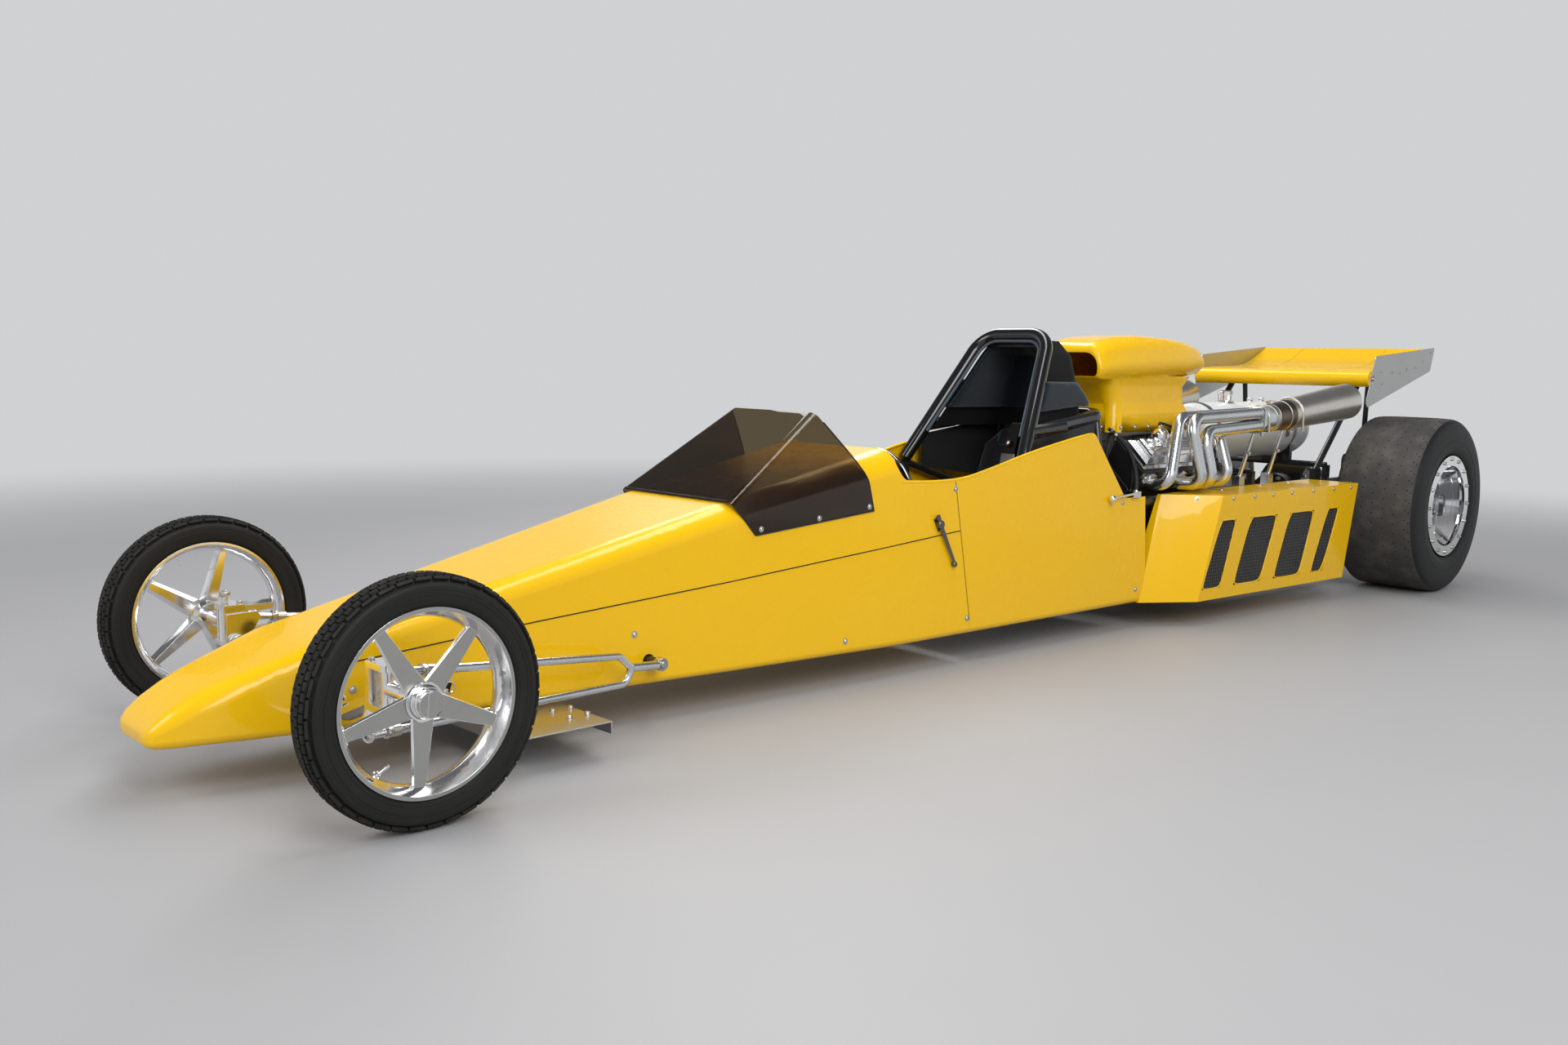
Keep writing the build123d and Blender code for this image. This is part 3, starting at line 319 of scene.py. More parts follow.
def bent_tube(points, radius, bend, sides):
    """A tube along straight runs, each corner a true arc of one bend radius."""
    deselect()
    bpy.ops.curve.primitive_bezier_curve_add(location=(0, 0, 0))
    curve = bpy.context.object.data
    points = [Vector(p) for p in points]
    knots = [(points[0], None, None)]
    for before, corner, after in zip(points, points[1:], points[2:]):
        back, ahead = (before - corner).normalized(), (after - corner).normalized()
        angle = pi - back.angle(ahead)
        cut = bend * tan(angle / 2)
        pull = 4 / 3 * tan(angle / 4) * bend
        start, end = corner + back * cut, corner + ahead * cut
        knots += [(start, None, start - back * pull), (end, end - ahead * pull, None)]
    knots.append((points[-1], None, None))
    curve.splines.remove(curve.splines[0])
    spline = curve.splines.new("BEZIER")
    spline.bezier_points.add(len(knots) - 1)
    for index, (point, (place, left, right)) in enumerate(zip(spline.bezier_points, knots)):
        point.handle_left_type = point.handle_right_type = "FREE"
        point.co = place
        point.handle_left = left or place.lerp(knots[max(index - 1, 0)][0], 0.33)
        point.handle_right = right or place.lerp(knots[min(index + 1, len(knots) - 1)][0], 0.33)
    return piped(curve, radius, 10, sides)


# Materials

def node(tree, kind, inputs=None, **settings):
    """A shader node with its settings, and default values for some inputs."""
    made = tree.nodes.new(f"ShaderNode{kind}")
    for key, value in settings.items():
        setattr(made, key, value)
    for key, value in (inputs or {}).items():
        made.inputs[key].default_value = value
    return made


def smoothstep(tree, low, high):
    return node(tree, "MapRange", {"From Min": low, "From Max": high}, interpolation_type="SMOOTHSTEP")


def link(tree, *rows):
    """Joins the output of one node to the input of another in each row."""
    for source, output, target, entry in rows:
        tree.links.new(source.outputs[output], target.inputs[entry])


def effect(name, inputs, outputs):
    """A shader node group, whose inputs take their kinds from their values."""
    tree = bpy.data.node_groups.new(name, "ShaderNodeTree")
    for label, value in inputs.items():
        kind = "Float" if isinstance(value, float) else "Vector" if len(value) == 3 else "Color"
        made = tree.interface.new_socket(name=label, in_out="INPUT", socket_type=f"NodeSocket{kind}")
        made.default_value = value
    for label in outputs:
        kind = "Color" if label == "Colour" else "Float"
        tree.interface.new_socket(name=label, in_out="OUTPUT", socket_type=f"NodeSocket{kind}")
    return tree, tree.nodes.new("NodeGroupInput"), tree.nodes.new("NodeGroupOutput"), node(tree, "TexCoord")


def fine_grain_group():
    """Noise at a named scale, spread between two values, and the same as a height."""
    inputs = {"Scale": 400.0, "Stretch": (1, 1, 1), "Low": 0.2, "High": 0.3}
    tree, given, out, place = effect("Fine grain", inputs, ("Value", "Height"))
    stretch = node(tree, "VectorMath", operation="MULTIPLY")
    noise = node(tree, "TexNoise", {"Detail": 4})
    spread = node(tree, "MapRange", {"From Min": 0.3, "From Max": 0.7})
    link(tree, (place, "Object", stretch, 0), (given, "Stretch", stretch, 1), (stretch, 0, noise, "Vector"),
         (given, "Scale", noise, "Scale"), (noise, "Fac", spread, "Value"), (given, "Low", spread, "To Min"),
         (given, "High", spread, "To Max"), (spread, 0, out, "Value"), (noise, "Fac", out, "Height"))
    return tree


def tint_group():
    """Two colours mixed in soft patches."""
    inputs = {"Scale": 4.0, "Colour": (0.5, 0.5, 0.5, 1), "Patch colour": (0.4, 0.4, 0.4, 1), "Amount": 0.3}
    tree, given, out, place = effect("Patchy tint", inputs, ("Colour",))
    noise = node(tree, "TexNoise", {"Detail": 6, "Roughness": 0.62})
    spread = smoothstep(tree, 0.42, 0.72)
    scale = node(tree, "Math", operation="MULTIPLY")
    mix = node(tree, "Mix", data_type="RGBA")
    link(tree, (place, "Object", noise, "Vector"), (given, "Scale", noise, "Scale"),
         (noise, "Fac", spread, "Value"), (spread, 0, scale, 0), (given, "Amount", scale, 1),
         (scale, 0, mix, "Factor"), (given, "Colour", mix, 6), (given, "Patch colour", mix, 7),
         (mix, 2, out, "Colour"))
    return tree


def speckle_group():
    """Small flecks scattered over a surface, as in a flocked cloth."""
    tree, given, out, place = effect("Flecks", {"Scale": 300.0, "Size": 0.3}, ("Mask",))
    cells = node(tree, "TexVoronoi", feature="F1")
    edge = node(tree, "MapRange", {"To Min": 1.0, "To Max": 0.0}, interpolation_type="SMOOTHSTEP")
    link(tree, (place, "Object", cells, "Vector"), (given, "Scale", cells, "Scale"),
         (cells, "Distance", edge, "Value"), (given, "Size", edge, "From Max"), (edge, 0, out, "Mask"))
    return tree


def weave_group():
    """Crossed threads, as a mask of which one lies on top."""
    tree, given, out, place = effect("Weave", {"Scale": 1200.0}, ("Mask",))
    parts = node(tree, "SeparateXYZ")
    slant = node(tree, "Math", operation="ADD")
    cross = node(tree, "Math", operation="MULTIPLY")
    half = node(tree, "MapRange", {"From Min": -1.0})
    link(tree, (place, "Object", parts, 0), (parts, "X", slant, 0), (parts, "Z", slant, 1))
    for entry, (source, output) in enumerate(((slant, 0), (parts, "Y"))):
        spread = node(tree, "Math", operation="MULTIPLY")
        wave = node(tree, "Math", operation="SINE")
        link(tree, (source, output, spread, 0), (given, "Scale", spread, 1), (spread, 0, wave, 0),
             (wave, 0, cross, entry))
    link(tree, (cross, 0, half, "Value"), (half, 0, out, "Mask"))
    return tree


GRAIN = fine_grain_group()
TINT = tint_group()
FLECKS = speckle_group()
WEAVE = weave_group()


def finish(name, **values):
    """A material with a Principled BSDF; values name its sockets with underscores."""
    material = bpy.data.materials.new(name)
    material.use_nodes = True
    shader = material.node_tree.nodes["Principled BSDF"]
    for label, value in values.items():
        shader.inputs[label.replace("_", " ")].default_value = value
    return material, material.node_tree, shader


def bumped(tree, shader, source, output, strength, distance):
    bump = node(tree, "Bump", {"Strength": strength, "Distance": distance})
    link(tree, (source, output, bump, "Height"), (bump, "Normal", shader, "Normal"))


def coloured(tree, shader, colour, patch, scale, amount):
    inputs = {"Scale": scale, "Amount": amount, "Colour": (*colour, 1), "Patch colour": (*patch, 1)}
    link(tree, (node(tree, "Group", inputs, node_tree=TINT), "Colour", shader, "Base Color"))


def grained(tree, shader, low, high, scale, stretch=(1, 1, 1), strength=0.0, distance=0.0002):
    inputs = {"Scale": scale, "Stretch": stretch, "Low": low, "High": high}
    grain = node(tree, "Group", inputs, node_tree=GRAIN)
    link(tree, (grain, "Value", shader, "Roughness"))
    if strength:
        bumped(tree, shader, grain, "Height", strength, distance)


def paint(name, colour, patch, roughness=0.28, coat=1.0):
    """Gloss paint under clear lacquer with a faint orange peel."""
    material, tree, shader = finish(name, Coat_Weight=coat, Coat_Roughness=0.03, Specular_IOR_Level=0.22)
    coloured(tree, shader, colour, patch, 0.9, 0.25)
    grained(tree, shader, roughness - 0.03, roughness + 0.03, 14, strength=0.02, distance=0.002)
    return material


def metal(name, colour, patch, low, high, scale=900, strength=0.05, stretch=(1, 1, 1), tint_scale=9.0):
    material, tree, shader = finish(name, Metallic=1.0)
    coloured(tree, shader, colour, patch, tint_scale, 0.35)
    grained(tree, shader, low, high, scale, stretch, strength, 0.0001)
    return material


def rubber(name, colour, patch, low=0.55, high=0.75, scale=700, tint_scale=7.0, amount=0.6):
    material, tree, shader = finish(name, Specular_IOR_Level=0.35)
    coloured(tree, shader, colour, patch, tint_scale, amount)
    grained(tree, shader, low, high, scale, strength=0.25, distance=0.0003)
    return material


def smoked(name, colour, low, high, scale):
    material, tree, shader = finish(name, Base_Color=(*colour, 1), IOR=1.49, Transmission_Weight=1.0)
    grained(tree, shader, low, high, scale)
    return material


def cloth(name, pattern, inputs, shade, colour, grain, bump, **values):
    """Cloth of two colours mixed by a pattern, which also stands up a little."""
    material, tree, shader = finish(name, **values)
    mask = node(tree, "Group", inputs, node_tree=pattern)
    mix = node(tree, "Mix", {6: (*shade, 1), 7: (*colour, 1)}, data_type="RGBA")
    link(tree, (mask, "Mask", mix, "Factor"), (mix, 2, shader, "Base Color"))
    grained(tree, shader, *grain)
    bumped(tree, shader, mask, "Mask", *bump)
    return material


def flecked(name, colour, shade):
    """Cloth with pale flecks."""
    inputs = {"Scale": 420.0, "Size": 0.42}
    return cloth(name, FLECKS, inputs, shade, colour, (0.75, 0.95, 600), (0.5, 0.0006),
                 Sheen_Weight=0.35, Sheen_Roughness=0.5, Specular_IOR_Level=0.2)


def woven(name, colour, shade, scale, sheen):
    """Cloth of crossed threads with a soft sheen."""
    return cloth(name, WEAVE, {"Scale": scale}, shade, colour, (0.7, 0.92, 700), (0.4, 0.0004),
                 Sheen_Weight=sheen, Sheen_Roughness=0.45, Specular_IOR_Level=0.25)


# Columns: kind, name, colour, second colour, then the kind's own values
FINISH_ROWS = [
    (paint, "yellow_paint", (0.86, 0.5, 0.001), (0.84, 0.48, 0.001), 0.27, 0.4),
    (paint, "frame_black", (0.012, 0.012, 0.013), (0.02, 0.02, 0.02), 0.35, 0.6),
    (paint, "cage_black", (0.006, 0.006, 0.007), (0.01, 0.01, 0.011), 0.2),
    (smoked, "smoke_screen", (0.16, 0.115, 0.055), 0.01, 0.03, 60),
    (flecked, "black_fabric", (0.018, 0.046, 0.072), (0.0026, 0.0075, 0.0145)),
    (rubber, "panel_black", (0.016, 0.016, 0.017), (0.028, 0.028, 0.029), 0.35, 0.5, 300),
    (rubber, "mesh_black", (0.004, 0.004, 0.004), (0.008, 0.008, 0.008), 0.3, 0.45, 500),
    (metal, "floor_aluminium", (0.6, 0.6, 0.6), (0.45, 0.45, 0.44), 0.28, 0.42, 500, 0.05, (1, 12, 1)),
    (metal, "polished_aluminium", (0.86, 0.86, 0.87), (0.7, 0.7, 0.71), 0.11, 0.19, 260, 0.015),
    (paint, "engine_black", (0.012, 0.012, 0.012), (0.03, 0.028, 0.026), 0.4, 0.3),
    (metal, "cast_aluminium", (0.56, 0.56, 0.56), (0.4, 0.4, 0.39), 0.36, 0.5, 700, 0.35),
    (metal, "header_steel", (0.7, 0.72, 0.74), (0.58, 0.58, 0.56), 0.19, 0.29, 200, 0.015),
    (metal, "silencer_steel", (0.74, 0.71, 0.66), (0.6, 0.54, 0.46), 0.24, 0.36, 260, 0.08, (1, 30, 30), 5.0),
    (paint, "tank_white", (0.7, 0.73, 0.745), (0.64, 0.67, 0.685), 0.34, 0.3),
    (metal, "chrome_rim", (0.86, 0.86, 0.87), (0.78, 0.78, 0.79), 0.05, 0.1, 200, 0.01),
    (rubber, "tyre", (0.0075, 0.0072, 0.0064), (0.013, 0.0125, 0.011)),
    (rubber, "slick", (0.01, 0.0104, 0.011), (0.018, 0.0185, 0.019), 0.45, 0.65),
    (metal, "wing_plate_aluminium", (0.5, 0.505, 0.5), (0.43, 0.43, 0.425), 0.32, 0.42, 300, 0.05,
     (1, 1, 20)),
    (metal, "machined_face", (0.44, 0.44, 0.42), (0.36, 0.36, 0.345), 0.28, 0.38, 900, 0.1),
    (metal, "zinc_steel", (0.62, 0.6, 0.55), (0.48, 0.46, 0.42), 0.24, 0.36, 800, 0.1),
    (metal, "dark_steel", (0.16, 0.16, 0.16), (0.1, 0.1, 0.1), 0.28, 0.42, 800, 0.1),
    (metal, "dark_chrome", (0.22, 0.22, 0.23), (0.16, 0.16, 0.17), 0.08, 0.16),
    (metal, "scorched_steel", (0.2, 0.15, 0.11), (0.12, 0.09, 0.07), 0.25, 0.4, 300, 0.1, (1, 20, 20), 12.0),
    (rubber, "tread_rubber", (0.011, 0.0105, 0.009), (0.026, 0.024, 0.02), 0.6, 0.85, 900, 24.0, 0.8),
    (rubber, "slick_tread", (0.052, 0.05, 0.047), (0.105, 0.096, 0.086), 0.72, 0.92, 500, 9.0, 0.9),
    # Also the painted shade in the body's small side holes
    (rubber, "pin_dark", (0.01, 0.01, 0.01), (0.014, 0.013, 0.012), 0.7, 0.9, 900),
    # Real rubber for the screen's edging, and painted shadow for the dark lines in the seams of the body and
    # the wing
    (rubber, "seal_rubber_and_seam_shadow", (0.012, 0.012, 0.012), (0.02, 0.02, 0.02), 0.45, 0.65, 900),
    (rubber, "hose_rubber", (0.012, 0.012, 0.013), (0.022, 0.022, 0.022), 0.4, 0.6, 600),
    (woven, "piping_cloth", (0.075, 0.105, 0.13), (0.04, 0.058, 0.075), 900, 0.3),
    (woven, "belt_webbing", (0.02, 0.021, 0.024), (0.007, 0.007, 0.009), 1300, 0.5),
    (woven, "cushion_cloth", (0.018, 0.02, 0.024), (0.008, 0.009, 0.011), 1500, 0.35),
    (rubber, "wire_black", (0.085, 0.085, 0.085), (0.11, 0.11, 0.11), 0.3, 0.45, 500),
    (woven, "shroud_cover", (0.004, 0.0045, 0.0055), (0.0015, 0.0018, 0.0025), 1100, 0.05),
]
FINISHES = {name: kind(name, *values) for kind, name, *values in FINISH_ROWS}

# Pieces whose look differs from that of their material slot
DRESSED_IN = {"cage_shroud_shell": "shroud_cover"}


def show(pieces, name, slot, finish_name=None, body="chassis", replaces=()):
    """Joins pieces under a name, gives them a finish and lets them ride on a body."""
    obj = joined(pieces) if isinstance(pieces, list) else pieces
    obj.name = name
    obj.data.name = name
    obj.data.materials.clear()
    obj.data.materials.append(FINISHES[finish_name or slot])
    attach(obj, body)
    if replaces:
        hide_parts(*replaces)
    return obj


def faced(obj, finish_name, test):
    """Gives the faces that pass a test a second finish."""
    obj.data.materials.append(FINISHES[finish_name])
    for face in obj.data.polygons:
        if test(face):
            face.material_index = 1
    return obj


def solid_copy(solid, flat=False):
    """A merged copy of a solid, with its flat faces made one if asked."""
    piece = copy_of(frame["nodes"][solid])
    piece.parent = None
    piece.hide_set(False)
    piece.hide_viewport = piece.hide_render = False
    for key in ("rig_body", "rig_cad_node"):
        if key in piece:
            del piece[key]
    edit(piece)
    bpy.ops.mesh.remove_doubles(threshold=2e-6)
    if flat:
        bpy.ops.mesh.dissolve_limited(angle_limit=radians(0.5))
    leave()
    return piece


def dress(name, solid, slot, bevel=0.0):
    """A copy of a solid with softened edges, which stands for it."""
    piece = solid_copy(solid, bevel > 0)
    if bevel:
        softened(piece, bevel)
    else:
        smooth(piece, 35)
        applied(piece, "WEIGHTED_NORMAL", keep_sharp=True)
    return show(piece, name, slot, DRESSED_IN.get(name), frame["nodes"][solid]["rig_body"], [solid])


# Camera, lights and floor

def picture_camera():
    ahead = Vector((cos(YAW) * cos(PITCH), sin(YAW) * cos(PITCH), -sin(PITCH)))
    level = Vector((sin(YAW), -cos(YAW), 0))
    under = ahead.cross(level)
    right = level * cos(ROLL) + under * sin(ROLL)
    down = under * cos(ROLL) - level * sin(ROLL)
    data = bpy.data.cameras.new("camera")
    data.lens = LENS
    data.sensor_width = SENSOR
    data.clip_end = 200
    camera = bpy.data.objects.new("camera", data)
    bpy.context.scene.collection.objects.link(camera)
    camera.matrix_world = Matrix.Translation(EYE) @ axes(right, -down, -ahead)
    bpy.context.scene.camera = camera


def pale_mix(tree, shade, seen):
    """Shows one shader node to the camera, mirrors and glass, and another to the rest."""
    path = node(tree, "LightPath")
    first = node(tree, "Math", operation="MAXIMUM")
    both = node(tree, "Math", operation="MAXIMUM")
    mix = node(tree, "MixShader")
    link(tree, (path, "Is Camera Ray", first, 0), (path, "Is Glossy Ray", first, 1), (first, 0, both, 0),
         (path, "Is Transmission Ray", both, 1), (both, 0, mix, "Fac"), (shade, 0, mix, 1), (seen, 0, mix, 2))
    return mix


def sky():
    """Soft even light; the camera and mirrors see a pale room under a darker ceiling."""
    world = bpy.data.worlds.new("studio")
    bpy.context.scene.world = world
    world.use_nodes = True
    tree = world.node_tree
    soft = tree.nodes["Background"]
    soft.inputs["Color"].default_value = (1, 1, 1, 1)
    soft.inputs["Strength"].default_value = 0.48
    place = node(tree, "TexCoord")
    parts = node(tree, "SeparateXYZ")
    rise = smoothstep(tree, 0.24, 0.52)
    shade = node(tree, "Mix", {6: ROOM, 7: CEILING}, data_type="RGBA")
    room = node(tree, "Background", {"Strength": 1.0})
    link(tree, (place, "Generated", parts, 0), (parts, "Z", rise, "Value"), (rise, 0, shade, "Factor"),
         (shade, 2, room, "Color"), (pale_mix(tree, soft, room), 0, tree.nodes["World Output"], "Surface"))


def lamp(name, place, target, size, power, length):
    data = bpy.data.lights.new(name, "AREA")
    data.shape = "RECTANGLE"
    data.size = size
    data.size_y = length
    data.energy = power
    obj = bpy.data.objects.new(name, data)
    bpy.context.scene.collection.objects.link(obj)
    obj.matrix_world = facing(place, Vector(place) - Vector(target))


def floor():
    deselect()
    bpy.ops.mesh.primitive_plane_add(size=120, location=(0, 0, 0))
    ground = bpy.context.object
    ground.name = "floor"
    material, tree, shader = finish("floor", Roughness=0.55)
    coloured(tree, shader, (0.37, 0.37, 0.38), (0.35, 0.35, 0.36), 0.8, 0.5)
    place = node(tree, "TexCoord")
    reach = node(tree, "VectorMath", operation="LENGTH")
    fade = smoothstep(tree, 3.4, 8.5)
    far = node(tree, "Emission", {"Color": ROOM})
    mix = node(tree, "MixShader")
    link(tree, (place, "Object", reach, 0), (reach, "Value", fade, "Value"), (fade, 0, mix, "Fac"),
         (shader, 0, mix, 1), (pale_mix(tree, shader, far), 0, mix, 2),
         (mix, 0, tree.nodes["Material Output"], "Surface"))
    ground.data.materials.append(material)


def studio():
    bpy.context.scene.view_settings.view_transform = "Standard"
    picture_camera()
    sky()
    floor()
    lamp("key", (3.0, 5.5, 4.6), (0, 0, 0.4), 3.0, 300, 5.0)
    lamp("front", (6.5, -1.0, 3.6), (1.0, 0, 0.4), 2.5, 120, 3.5)
    lamp("overhead", (-0.5, -0.6, 4.4), (0, 0, 0.5), 1.2, 130, 6.5)
    lamp("back", (-3.0, -5.0, 5.6), (0, 0, 0.4), 3.0, 120, 4.0)


# Places and fasteners

def car(x, y, z):
    """A point in the source's millimetres from the rear axle, as metres in the frame."""
    return Vector((x / 1000 + rear_axle_x, y / 1000, z / 1000))


def stood(x, y, z, way=UP):
    """The matrix that stands a piece on a point of the car with its Z along a direction."""
    return facing(car(x, y, z), way)


surfaces = {}


def met(solid, start, way):
    """Where a line from a point first meets a solid, with the face's normal, or a pair of None."""
    if solid not in surfaces:
        mesh = frame["nodes"][solid].data
        corners = [vertex.co.copy() for vertex in mesh.vertices]
        surfaces[solid] = BVHTree.FromPolygons(corners, [tuple(face.vertices) for face in mesh.polygons])
    return surfaces[solid].ray_cast(Vector(start), Vector(way).normalized())[:2]


def aside(solid, x, z, side):
    """Where a level line from one side of the car meets a solid."""
    return met(solid, car(x, side * 700, z), (0, -side, 0))[0]


def seats(solid, starts, way):
    """The matrices that seat a fastener wherever the lines meet the solid."""
    hits = [met(solid, start, way) for start in starts]
    return [facing(point, normal) for point, normal in hits if point]


def side_seats(solid, spots, side, reach=700):
    """The same for level lines from one side of the car at spots of (station, height)."""
    return seats(solid, [car(x, side * reach, z) for x, z in spots], (0, -side, 0))


def beside(solids, x, z, side):
    """The outermost point of some solids at a station and height, seen from one side."""
    points = [aside(solid, x, z, side) for solid in solids]
    return max((point for point in points if point), key=lambda point: abs(point.y))


def hex_head(across, height):
    """A hexagon head with a chamfered top, standing on a round washer."""
    rim = across * 0.62
    ring = turned([(0, 0.0016), (rim * 0.94, 0.0016), (rim, 0.001), (rim, 0)], steps=20)
    deselect()
    bpy.ops.mesh.primitive_cylinder_add(vertices=6, radius=across / 2 / cos(pi / 6), depth=height,
                                        location=(0, 0, 0.0014 + height / 2))
    return joined([softened(settled(), height * 0.14, segments=1), ring])


def fastened(pattern, places, name, slot, finish_name="zinc_steel"):
    """A piece with a copy of a fastener at each place."""
    return show(scattered(pattern, places), name, slot, finish_name)


def stud_nut(across, height):
    """A nut with the end of its stud showing."""
    thread, top = across * 0.26, height * 1.5
    stud = turned([(0, top), (across * 0.2, top), (thread, height * 1.38), (thread, 0)], steps=12)
    return joined([hex_head(across, height), stud])


# A domed screw head with a round driving recess, on a thin washer: shares of its radius and height
SCREW_PROFILE = [(0, 0.45), (0.3, 0.45), (0.34, 0.96), (0.55, 0.9), (0.82, 0.6), (0.92, 0.22), (1.3, 0.2),
                 (1.34, 0)]


def button_screw(radius, height):
    return turned([(radius * r, height * a) for r, a in SCREW_PROFILE], steps=20, sharp=40)


def band(inner, outer, half, place, steps=24):
    """A flat ring from -half to half along its axis."""
    return turned([(inner, -half), (outer, -half), (outer, half), (inner, half)], place, steps, 40)


def chamfered_band(inner, outer, half, cut, place, steps):
    """The same with its outer edges cut off by a depth and a width."""
    depth, width = cut
    profile = [(inner, -half), (outer - depth, -half), (outer, width - half), (outer, half - width),
               (outer - depth, half), (inner, half)]
    return turned(profile, place, steps, 40)


# Wheels and tyres

def wheel_place(axle, side):
    """A wheel's own frame: Z outward and X forward."""
    x, half_track, radius = axle
    return shift(x, side * half_track, radius) @ Matrix(((1, 0, 0), (0, 0, side), (0, -side, 0))).to_4x4()


def tyre_case(wall, steps, sharp, place):
    """A tyre turned from its outer wall and the wall's mirror."""
    profile = wall + [(r, -a) for r, a in reversed(wall)]
    return turned(profile + profile[:1], place, steps, sharp)


def tread_block(length, width, depth, dish):
    """One tread block with soft edges and a shallow dish in its face; Y runs round the tyre."""
    block = brick((width, length, depth), (0, 0, -depth / 2))
    edit(block, "FACE")
    pick(lambda f: f.normal.z > 0.9, "FACE")
    bpy.ops.mesh.inset(thickness=min(width, length) * 0.24, depth=0)
    bpy.ops.mesh.inset(thickness=0.0006, depth=-dish)
    leave()
    return softened(block, 0.0008, angle=50, segments=1)


# Columns: distance from the middle, radius of the face, tilt, count, length, width, start in pitches
TREAD_ROWS = [
    (0.0, 0.2515, 0, 80, 0.016, 0.0125, 0.0),
    (0.0148, 0.2502, 10, 80, 0.016, 0.0115, 0.5),
    (-0.0148, 0.2502, -10, 80, 0.016, 0.0115, 0.5),
    (0.0262, 0.2452, 36, 40, 0.033, 0.008, 0.25),
    (-0.0262, 0.2452, -36, 40, 0.033, 0.008, 0.25),
]

# The outer walls of the tyres from the bead to the tread: (radius, along)
FRONT_WALL = [
    (0.1785, 0.03), (0.1888, 0.0302), (0.1906, 0.0316), (0.1934, 0.0356), (0.1962, 0.0366), (0.1968, 0.038),
    (0.199, 0.0384), (0.1996, 0.0378), (0.206, 0.0392), (0.213, 0.0394), (0.2136, 0.0402), (0.215, 0.0402),
    (0.2156, 0.0392), (0.2215, 0.0388), (0.2222, 0.0396), (0.229, 0.0388), (0.2348, 0.0352), (0.2356, 0.0336),
    (0.233, 0.0322), (0.239, 0.0262), (0.2432, 0.018), (0.2452, 0.008),
]
REAR_WALL = [
    (0.1905, 0.15), (0.211, 0.1502), (0.2135, 0.153), (0.215, 0.158), (0.22, 0.1645), (0.229, 0.1695),
    (0.242, 0.1722), (0.256, 0.1732), (0.27, 0.1736), (0.2706, 0.1728), (0.2722, 0.1728), (0.2728, 0.1735),
    (0.286, 0.1732), (0.3, 0.1722), (0.313, 0.1708), (0.326, 0.169), (0.338, 0.1662), (0.344, 0.1638),
    (0.3446, 0.1626), (0.35, 0.1598), (0.356, 0.1535), (0.3596, 0.145), (0.3616, 0.13), (0.363, 0.105),
    (0.3636, 0.07), (0.3638, 0.03),
]

# A front wheel's valve, the same way from its seat up
VALVE_STEM = [(0, 0.034), (0.0028, 0.034), (0.0034, 0.033), (0.0034, 0.024), (0.0026, 0.0232), (0.0026, 0.01),
              (0.0052, 0.009), (0.0058, 0.004), (0.0085, 0.003), (0.0085, 0)]

# The slicks' pin marks and the radius where their tread begins
# Columns: distance from the middle, radius, start in half pitches
PIN_ROWS = [(-0.132, 0.3614, 0), (-0.088, 0.3632, 1), (-0.044, 0.3638, 0), (0, 0.3638, 1),
            (0.044, 0.3638, 0), (0.088, 0.3632, 1), (0.132, 0.3614, 0), (-0.146, 0.3594, 0.5),
            (0.146, 0.3594, 0.5)]
PINS_A_ROW = 56
SLICK_TREAD_RADIUS = 0.3555


def front_tyre(side):
    place = wheel_place(FRONT_AXLE, side)
    name = f"front_tyre_{SIDES[side]}"
    body = f"front_wheel_{SIDES[side]}"
    case = tyre_case(FRONT_WALL, 120, 24, place)
    blocks = []
    for along, radius, tilt, count, length, width, start in TREAD_ROWS:
        places = around(count, radius, along, radians(-tilt), start * 2 * pi / count)
        blocks.append(scattered(tread_block(length, width, 0.0065, 0.0009), places))
    show(case, f"{name}_case", "tyre", body=body, replaces=[name])
    show(placed(joined(blocks), place), f"{name}_tread", "tyre", "tread_rubber", body)


def front_wheel(side, rest_angle):
    """The rim with machined faces, pads at the spokes' ends, the valve and two raised hub rings."""
    place = wheel_place(FRONT_AXLE, side)
    body = f"front_wheel_{SIDES[side]}"
    rim = dress(f"{body}_rim", body, "polished_aluminium", 0.0014)
    outside = place.to_3x3().col[2]
    faced(rim, "machined_face", lambda f: f.normal.dot(outside) > 0.97)
    outline = [(-0.013, -0.016), (0.01, -0.02), (0.01, 0.02), (-0.013, 0.016)]
    pads = [plate(outline, 0.003, 0.0014, seat @ turn(-pi / 2, "Y"))
            for seat in circle(5, 0.1665, -0.002, radians(rest_angle))]
    stem_seat = circle(1, 0.164, 0.014, radians(rest_angle - 36))[0]
    pads.append(turned(VALVE_STEM, stem_seat @ turn(-pi / 2 + radians(35), "Y"), 16, 40))
    for r, a, thick in ((0.0385, 0.0118, 0.0012), (0.0305, 0.024, 0.001)):
        inner = r - 0.004
        profile = [(inner, a - thick), (r, a - thick), (r + thick, a), (r, a + thick), (inner, a + thick)]
        pads.append(turned(profile, closed=False))
    show(placed(joined(pads), place), f"{body}_pads", "polished_aluminium", body=body)


def rear_tyre(side):
    """A slick with a softly crowned tread, bulging walls and rows of small pin marks."""
    place = wheel_place(REAR_AXLE, side)
    name = f"rear_tyre_{SIDES[side]}"
    case = tyre_case(REAR_WALL, 160, 32, place)
    show(case, f"{name}_case", "slick", body="rear_axle", replaces=[name])
    faced(case, "slick_tread",
          lambda f: hypot(f.center.x - rear_axle_x, f.center.z - rear_tyre_radius) > SLICK_TREAD_RADIUS)
    pin = turned([(0, 0.0006), (0.0027, 0.0005), (0.0034, 0.0)], steps=7, sharp=60)
    places = []
    for along, radius, start in PIN_ROWS:
        places += around(PINS_A_ROW, radius, along, start=start * pi / PINS_A_ROW)
    show(placed(scattered(pin, places), place), f"{name}_pins", "slick", "pin_dark", "rear_axle")


